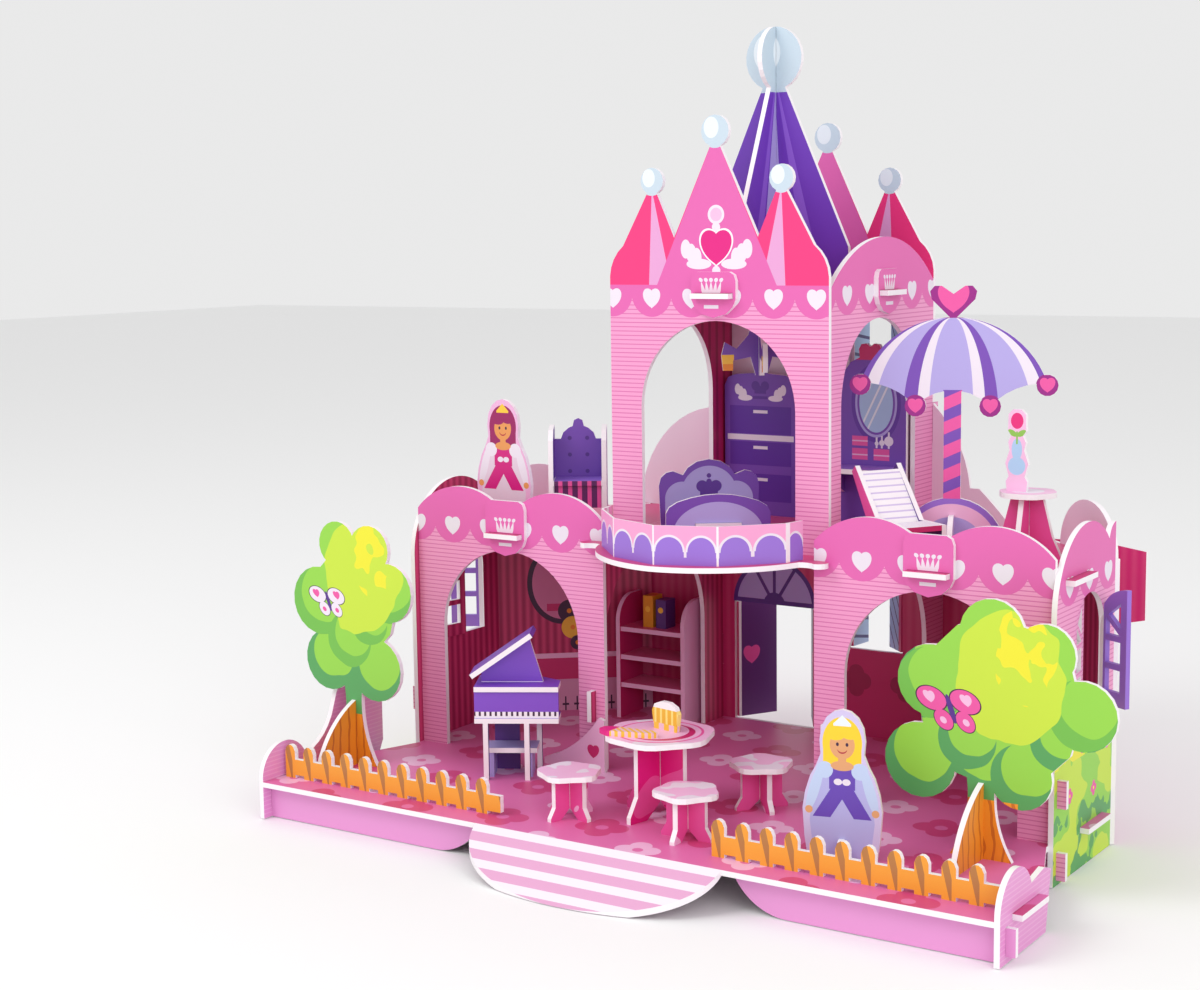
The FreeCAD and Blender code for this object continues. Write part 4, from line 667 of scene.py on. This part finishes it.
# Dresser: three drawers with pale handles under a crown and wings
sheet = Sheet("dresser_print", (middle_of("dresser")[0], 0.0, TERRACE))
u, v = sheet.x, sheet.z
tone = sheet.mix(PURPLE, PALE, sheet.between(v, 48.0, 51.6).both(u.size() < 24.0))
for base, top in ((52.2, 70.0), (32.0, 47.0), (9.0, 26.5)):
    tone = sheet.mix(tone, colour(92, 44, 158), sheet.block(u, -22.2, 22.2, v, base, top))
    tone = sheet.mix(tone, PALE, sheet.block(u, -5.2, 5.2, v, top - 4.6, top - 2.6))
royal = sheet.ring(u.size() - 3.4, v - 83.0, 3.0).either(sheet.block(u, -4.2, 4.2, v, 78.0, 83.0))
royal = royal.either(sheet.block(u, -5.2, 5.2, v, 74.6, 76.4))
tone = sheet.mix(tone, colour(92, 48, 150), royal)
tone = sheet.mix(tone, PALE, sheet.wings(u, v - 77.0, 11.0, 9.5))
cover("dresser", sheet.paint(PURPLE, tone, 1))

# Dressing table with an oval mirror
sheet = Sheet("vanity_board_print", (middle_of("vanity_board")[0], 0.0, TERRACE))
u, v = sheet.x - 4.0, sheet.z - 76.5
tone = sheet.mix(PURPLE, colour(96, 50, 160), sheet.oval(u, v, 16.5, 24.0))
tone = sheet.mix(tone, LILAC, sheet.oval(u, v, 14.0, 21.0))
tone = sheet.mix(tone, PURPLE, sheet.oval(u, v, 12.6, 19.4))
mirror = sheet.oval(u, v, 11.2, 18.0)
tone = sheet.mix(tone, GLASS, mirror)
tone = sheet.mix(tone, SILVER_LIGHT, mirror.both(((u - v * 0.5).size() - 2.5).size() < 0.7))
for u0, v0, v1 in ((-16.0, 50.0, 56.0), (-16.0, 41.5, 48.5), (-1.5, 41.5, 48.5)):
    tone = sheet.mix(tone, ROSE, sheet.block(u, u0, u0 + 10.5, sheet.z, v0, v1))
    tone = sheet.mix(tone, BLUSH, sheet.block(u, u0, u0 + 10.5, sheet.z, v0 + 2.6, v0 + 3.4))
for u0, radius in ((0.5, 1.3), (4.0, 1.8), (8.6, 3.0)):
    bottle = sheet.ring(u - u0, sheet.z - 50.5 - radius, radius)
    neck = sheet.block(u, u0 - 0.6, u0 + 0.6, sheet.z, 49.0, 53.0 + radius * 2)
    tone = sheet.mix(tone, PALE, bottle.either(neck))
tone = sheet.mix(tone, MAGENTA, sheet.z > 102.5)
cover("vanity_board", sheet.paint(PURPLE, tone, 1))
sheet = Sheet("vanity_table_print")
tone = sheet.mix(EDGE, PURPLE, sheet.normal(0).size() > 0.6)
cover("vanity_table", sheet.plain(sheet.mix(tone, VIOLET, sheet.normal(2) > 0.8)))

# Chandelier: scrolled arms with candles
sheet = Sheet("chandelier_print", middle_of("chandelier"), CHANDELIER_TURN)
arm = sheet.x.size().either(sheet.y.size())
candle = (arm > 16.5).both(sheet.z < 12.5)
tone = sheet.mix(PURPLE, ORANGE, candle)
tone = sheet.mix(tone, GOLD, candle.both(sheet.z > 7.0))
cover("chandelier", sheet.crossing(tone))

# Piano
sheet = Sheet("piano_case_print", PIANO, PIANO_TURN)
tone = sheet.mix(colour(128, 74, 196), PURPLE_DARK, sheet.normal(2) < -0.5)
rim = sheet.between(sheet.z, 53.2, 56.8).either(sheet.z < 37.6)
tone = sheet.mix(tone, EDGE, rim.both(sheet.normal(2).size() < 0.5))
keys = sheet.between(sheet.z, 37.6, 41.4).both(sheet.normal(1) < -0.6).both(sheet.y < 4.0)
ebony = ((sheet.x % 3.2) < 1.3).both(sheet.z > 38.8)
tone = sheet.mix(tone, EDGE, keys)
tone = sheet.mix(tone, INK, keys.both(ebony))
tone = sheet.mix(tone, EDGE, (sheet.z > 56.8).both(sheet.normal(1).size() < 0.5))
cover("piano_case", sheet.plain(tone))
sheet = Sheet("piano_lid_print", PIANO, PIANO_TURN)
tone = sheet.mix(EDGE, PURPLE, sheet.normal(2) > 0.5)
streaks = sheet.mix(LILAC, PALE, ((sheet.x + sheet.y * 1.6) % 17.0) < 3.4)
cover("piano_lid", sheet.plain(sheet.mix(tone, streaks, sheet.normal(2) < -0.5)))
sheet = Sheet("piano_leg_print", PIANO, PIANO_TURN)
rear_panel = sheet.block(sheet.x, -17.0, 0.0, sheet.y, 24.0, 31.0)
tone = sheet.mix(EDGE, colour(90, 50, 130), rear_panel.either(sheet.normal(0).size() > 0.6))
cover("piano_legs", sheet.plain(tone))

# Table, stools and bench
sheet = Sheet("table_top_print", middle_of("dining_table_top"), TABLE_TURN)
u, v = sheet.x, sheet.y
tone = sheet.mix(BLUSH, PALE, sheet.noise(26.0, 1.0) > 0.58)
rings = ((0.0, 24.5, ROSE), (0.0, 23.0, BLUSH), (1.0, 19.0, MAGENTA), (-2.5, 18.0, BLUSH))
for offset, radius, ring_tone in rings:
    tone = sheet.mix(tone, ring_tone, sheet.ring(u - offset, v, radius))
cover("dining_table_top", sheet.paint(tone, ROSE, 2))
sheet = Sheet("table_leg_print", middle_of("dining_table_legs"), TABLE_TURN)
cover("dining_table_legs", sheet.crossing(sheet.mix(ROSE, HOT_PINK, sheet.noise(24.0, 1.0) > 0.5)))
sheet = Sheet("stool_seat_print")
tone = sheet.mix(BLUSH, PALE, sheet.noise(60.0, 1.0) > 0.55)
bench = sheet.x < LEFT_OF_HALL
cover("stool_seats", sheet.paint(sheet.mix(tone, LILAC, bench), sheet.mix(ROSE, LILAC, bench), 2))
sheet = Sheet("stool_leg_print")
tone = sheet.mix(BLUSH, ROSE, sheet.noise(40.0, 1.0) > 0.42)
tone = sheet.mix(tone, LILAC, sheet.x < LEFT_OF_HALL)
for x, y, turn in STOOLS:
    cos, sin = math.cos(math.radians(turn)), math.sin(math.radians(turn))
    dx, dy = sheet.x - x, sheet.y - y
    u, v = dx * cos + dy * sin, dy * cos - dx * sin
    nu = sheet.normal(0) * cos + sheet.normal(1) * sin
    nv = sheet.normal(1) * cos - sheet.normal(0) * sin
    cut = (v.size() < HALF_BOARD).both(nv.size() < SQUARELY)
    cut = cut.either((u.size() < HALF_BOARD).both(nu.size() < SQUARELY))
    tone = sheet.mix(tone, EDGE, cut.both(sheet.ring(dx, dy, 20.0)))
cover("stool_legs", sheet.plain(tone))

# Bookcase with its books, and the toys on the table
sheet = Sheet("bookcase_print", middle_of("bookcase"))
cut = (sheet.normal(1) < -0.6).either((sheet.normal(2) > 0.3).both(sheet.x.size() > 23.4))
tone = sheet.mix(MAGENTA, BLUSH, (sheet.normal(0) * sheet.x) > 0.0)
tone = sheet.mix(tone, colour(226, 100, 156), sheet.normal(2) > 0.8)
cover("bookcase", sheet.plain(sheet.mix(tone, BLUSH, cut)))
sheet = Sheet("toys_print")
books = sheet.mix(colour(225, 150, 30), colour(92, 50, 130), sheet.x > -112.0)
marks = (sheet.normal(1) < -0.6).both(sheet.ring(sheet.fold(sheet.x, 10.0, -117.0), sheet.z - 96.0, 2.0))
books = sheet.mix(books, GOLD, marks)
rod = sheet.mix(colour(238, 196, 210), GOLD, ((sheet.x + sheet.y * 1.4) % 5.2) < 2.6)
rod = sheet.mix(rod, HOT_PINK, sheet.x < -11.5)
crown = sheet.mix(colour(236, 180, 50), colour(250, 226, 130), (sheet.x % 4.2) < 1.5)
crown = sheet.mix(crown, EDGE, sheet.z > 82.0)
tone = sheet.mix(rod, crown, sheet.z > 73.6)
cover("table_toys", sheet.plain(sheet.mix(tone, books, sheet.x < LEFT_OF_HALL)))
sheet = Sheet("curved_stand_print", middle_of("curved_stand"))
tone = sheet.mix(BLUSH, MAGENTA, sheet.heart(sheet.x - 14.0, sheet.z - 12.0, 4.0))
cover("curved_stand", sheet.paint(tone, tone, 1))


def doll(name, turn, hair, skin, bodice, sleeve, skirt, sash, border, crown_tone):
    """A stand-up figure of plain make: crown, hair, face with eyes and smile, bodice and wide skirt."""
    sheet = Sheet(name + "_print", middle_of(name), turn)
    u, v = sheet.x, sheet.z
    out = u.size()
    inner = (out < 17.0 - (v - 20.0).size() * 0.12).both(v < 44.0)
    tone = sheet.mix(border, skirt, inner)
    panel = sheet.between(out - (44.0 - v) * 0.62, -7.5, 1.8).both(sheet.between(v, 22.0, 44.0))
    tone = sheet.mix(tone, sash, panel)
    arm = sheet.oval(out - 14.2 + (v - 38.0) * 0.28, v - 37.0, 2.9, 12.5)
    tone = sheet.mix(tone, sleeve, arm)
    tone = sheet.mix(tone, skin, sheet.ring(out - 17.4, v - 25.5, 2.0))
    locks = sheet.oval(u, v - 61.5, 10.3, 13.6).either(sheet.block(out, 3.0, 10.0, v, 47.0, 62.0))
    tone = sheet.mix(tone, hair, locks)
    tone = sheet.mix(tone, bodice, sheet.block(out, -1.0, 6.8, v, 37.0, 48.5))
    tone = sheet.mix(tone, sleeve, sheet.ring(out - 9.2, v - 47.0, 4.4))
    neck = sheet.oval(u, v - 49.5, 6.0, 2.6).either(sheet.block(out, -1.0, 2.1, v, 49.0, 57.0))
    tone = sheet.mix(tone, skin, neck.either(sheet.oval(u, v - 60.5, 6.5, 7.4)))
    fringe = sheet.oval(u + 3.6, v - 66.2, 5.2, 3.4).either(sheet.oval(u - 4.0, v - 66.6, 4.6, 3.0))
    tone = sheet.mix(tone, hair, fringe)
    tone = sheet.mix(tone, INK, sheet.oval(out - 2.5, v - 60.8, 0.75, 1.0))
    smile = sheet.ring(u, v - 58.6, 2.7).both(v < 58.0)
    tone = sheet.mix(tone, colour(176, 40, 60), smile)
    tone = sheet.mix(tone, skin, sheet.ring(u, v - 59.6, 2.9).both(v < 58.0))
    tone = sheet.mix(tone, PALE, sheet.oval(out - 2.2, v - 41.0, 2.2, 1.7))
    band = sheet.block(out, -1.0, 4.6, v, 70.4, 71.8)
    peak = (v < 76.2 - out).both(v > 71.0).both(out < 4.6)
    tone = sheet.mix(tone, crown_tone, band.either(peak))
    cover(name, sheet.paint(tone, tone, 1))


# Stand-up figures and the feet that hold them
doll("figure_terrace", 0.0, colour(150, 20, 92), colour(226, 150, 84), colour(206, 16, 124), PALE,
     colour(226, 206, 222), colour(206, 16, 124), colour(232, 176, 214), GOLD)
doll("figure_garden", GARDEN_FIGURE_TURN, colour(246, 206, 40), colour(222, 160, 110),
     colour(100, 66, 176), colour(190, 206, 236), colour(178, 176, 226), colour(100, 66, 176),
     colour(206, 194, 230), SILVER_LIGHT)
sheet = Sheet("stand_feet_print")
cover("stand_feet", sheet.plain(sheet.mix(EDGE, LILAC_PALE, sheet.normal(2).size() < 0.2)))

# Floor, light and camera
bpy.ops.mesh.primitive_plane_add(size=12.0, location=(0.0, 0.0, -0.0005))
ground = bpy.context.object
ground.name = "studio_floor"
ground_sheet = bpy.data.materials.new("studio_floor")
ground_sheet.use_nodes = True
ground_sheet.node_tree.nodes["Principled BSDF"].inputs["Base Color"].default_value = (0.9, 0.9, 0.9, 1.0)
ground_sheet.node_tree.nodes["Principled BSDF"].inputs["Roughness"].default_value = 0.9
ground.data.materials.append(ground_sheet)

world = bpy.data.worlds.new("studio")
world.use_nodes = True
world.node_tree.nodes["Background"].inputs["Color"].default_value = (1.0, 1.0, 1.0, 1.0)
world.node_tree.nodes["Background"].inputs["Strength"].default_value = 0.82
bpy.context.scene.world = world


def lamp(name, place, target, size, power):
    data = bpy.data.lights.new(name, "AREA")
    data.size = size
    data.energy = power
    thing = bpy.data.objects.new(name, data)
    bpy.context.scene.collection.objects.link(thing)
    thing.location = place
    thing.rotation_euler = (Vector(target) - Vector(place)).to_track_quat("-Z", "Y").to_euler()


lamp("key", (-0.9, -1.5, 1.8), (0.0, 0.0, 0.15), 1.2, 17.0)
lamp("fill", (1.6, -1.2, 1.0), (0.0, 0.0, 0.15), 1.5, 13.0)

yaw, pitch, roll = math.radians(33.77), math.radians(-7.67), math.radians(-0.82)
forward = Vector((-math.sin(yaw) * math.cos(pitch), math.cos(yaw) * math.cos(pitch), math.sin(pitch)))
level_right = Vector((math.cos(yaw), math.sin(yaw), 0.0))
level_up = level_right.cross(forward)
right = math.cos(roll) * level_right + math.sin(roll) * level_up
up = -math.sin(roll) * level_right + math.cos(roll) * level_up
camera_data = bpy.data.cameras.new("camera")
camera_data.sensor_width = 36.0
camera_data.lens = 60.02
camera = bpy.data.objects.new("camera", camera_data)
bpy.context.scene.collection.objects.link(camera)
camera.matrix_world = Matrix.Translation(at(580.3, -989.5, 347.6)) @ Matrix(
    (right, up, -forward)).transposed().to_4x4()
bpy.context.scene.camera = camera
bpy.context.scene.view_settings.view_transform = "Standard"
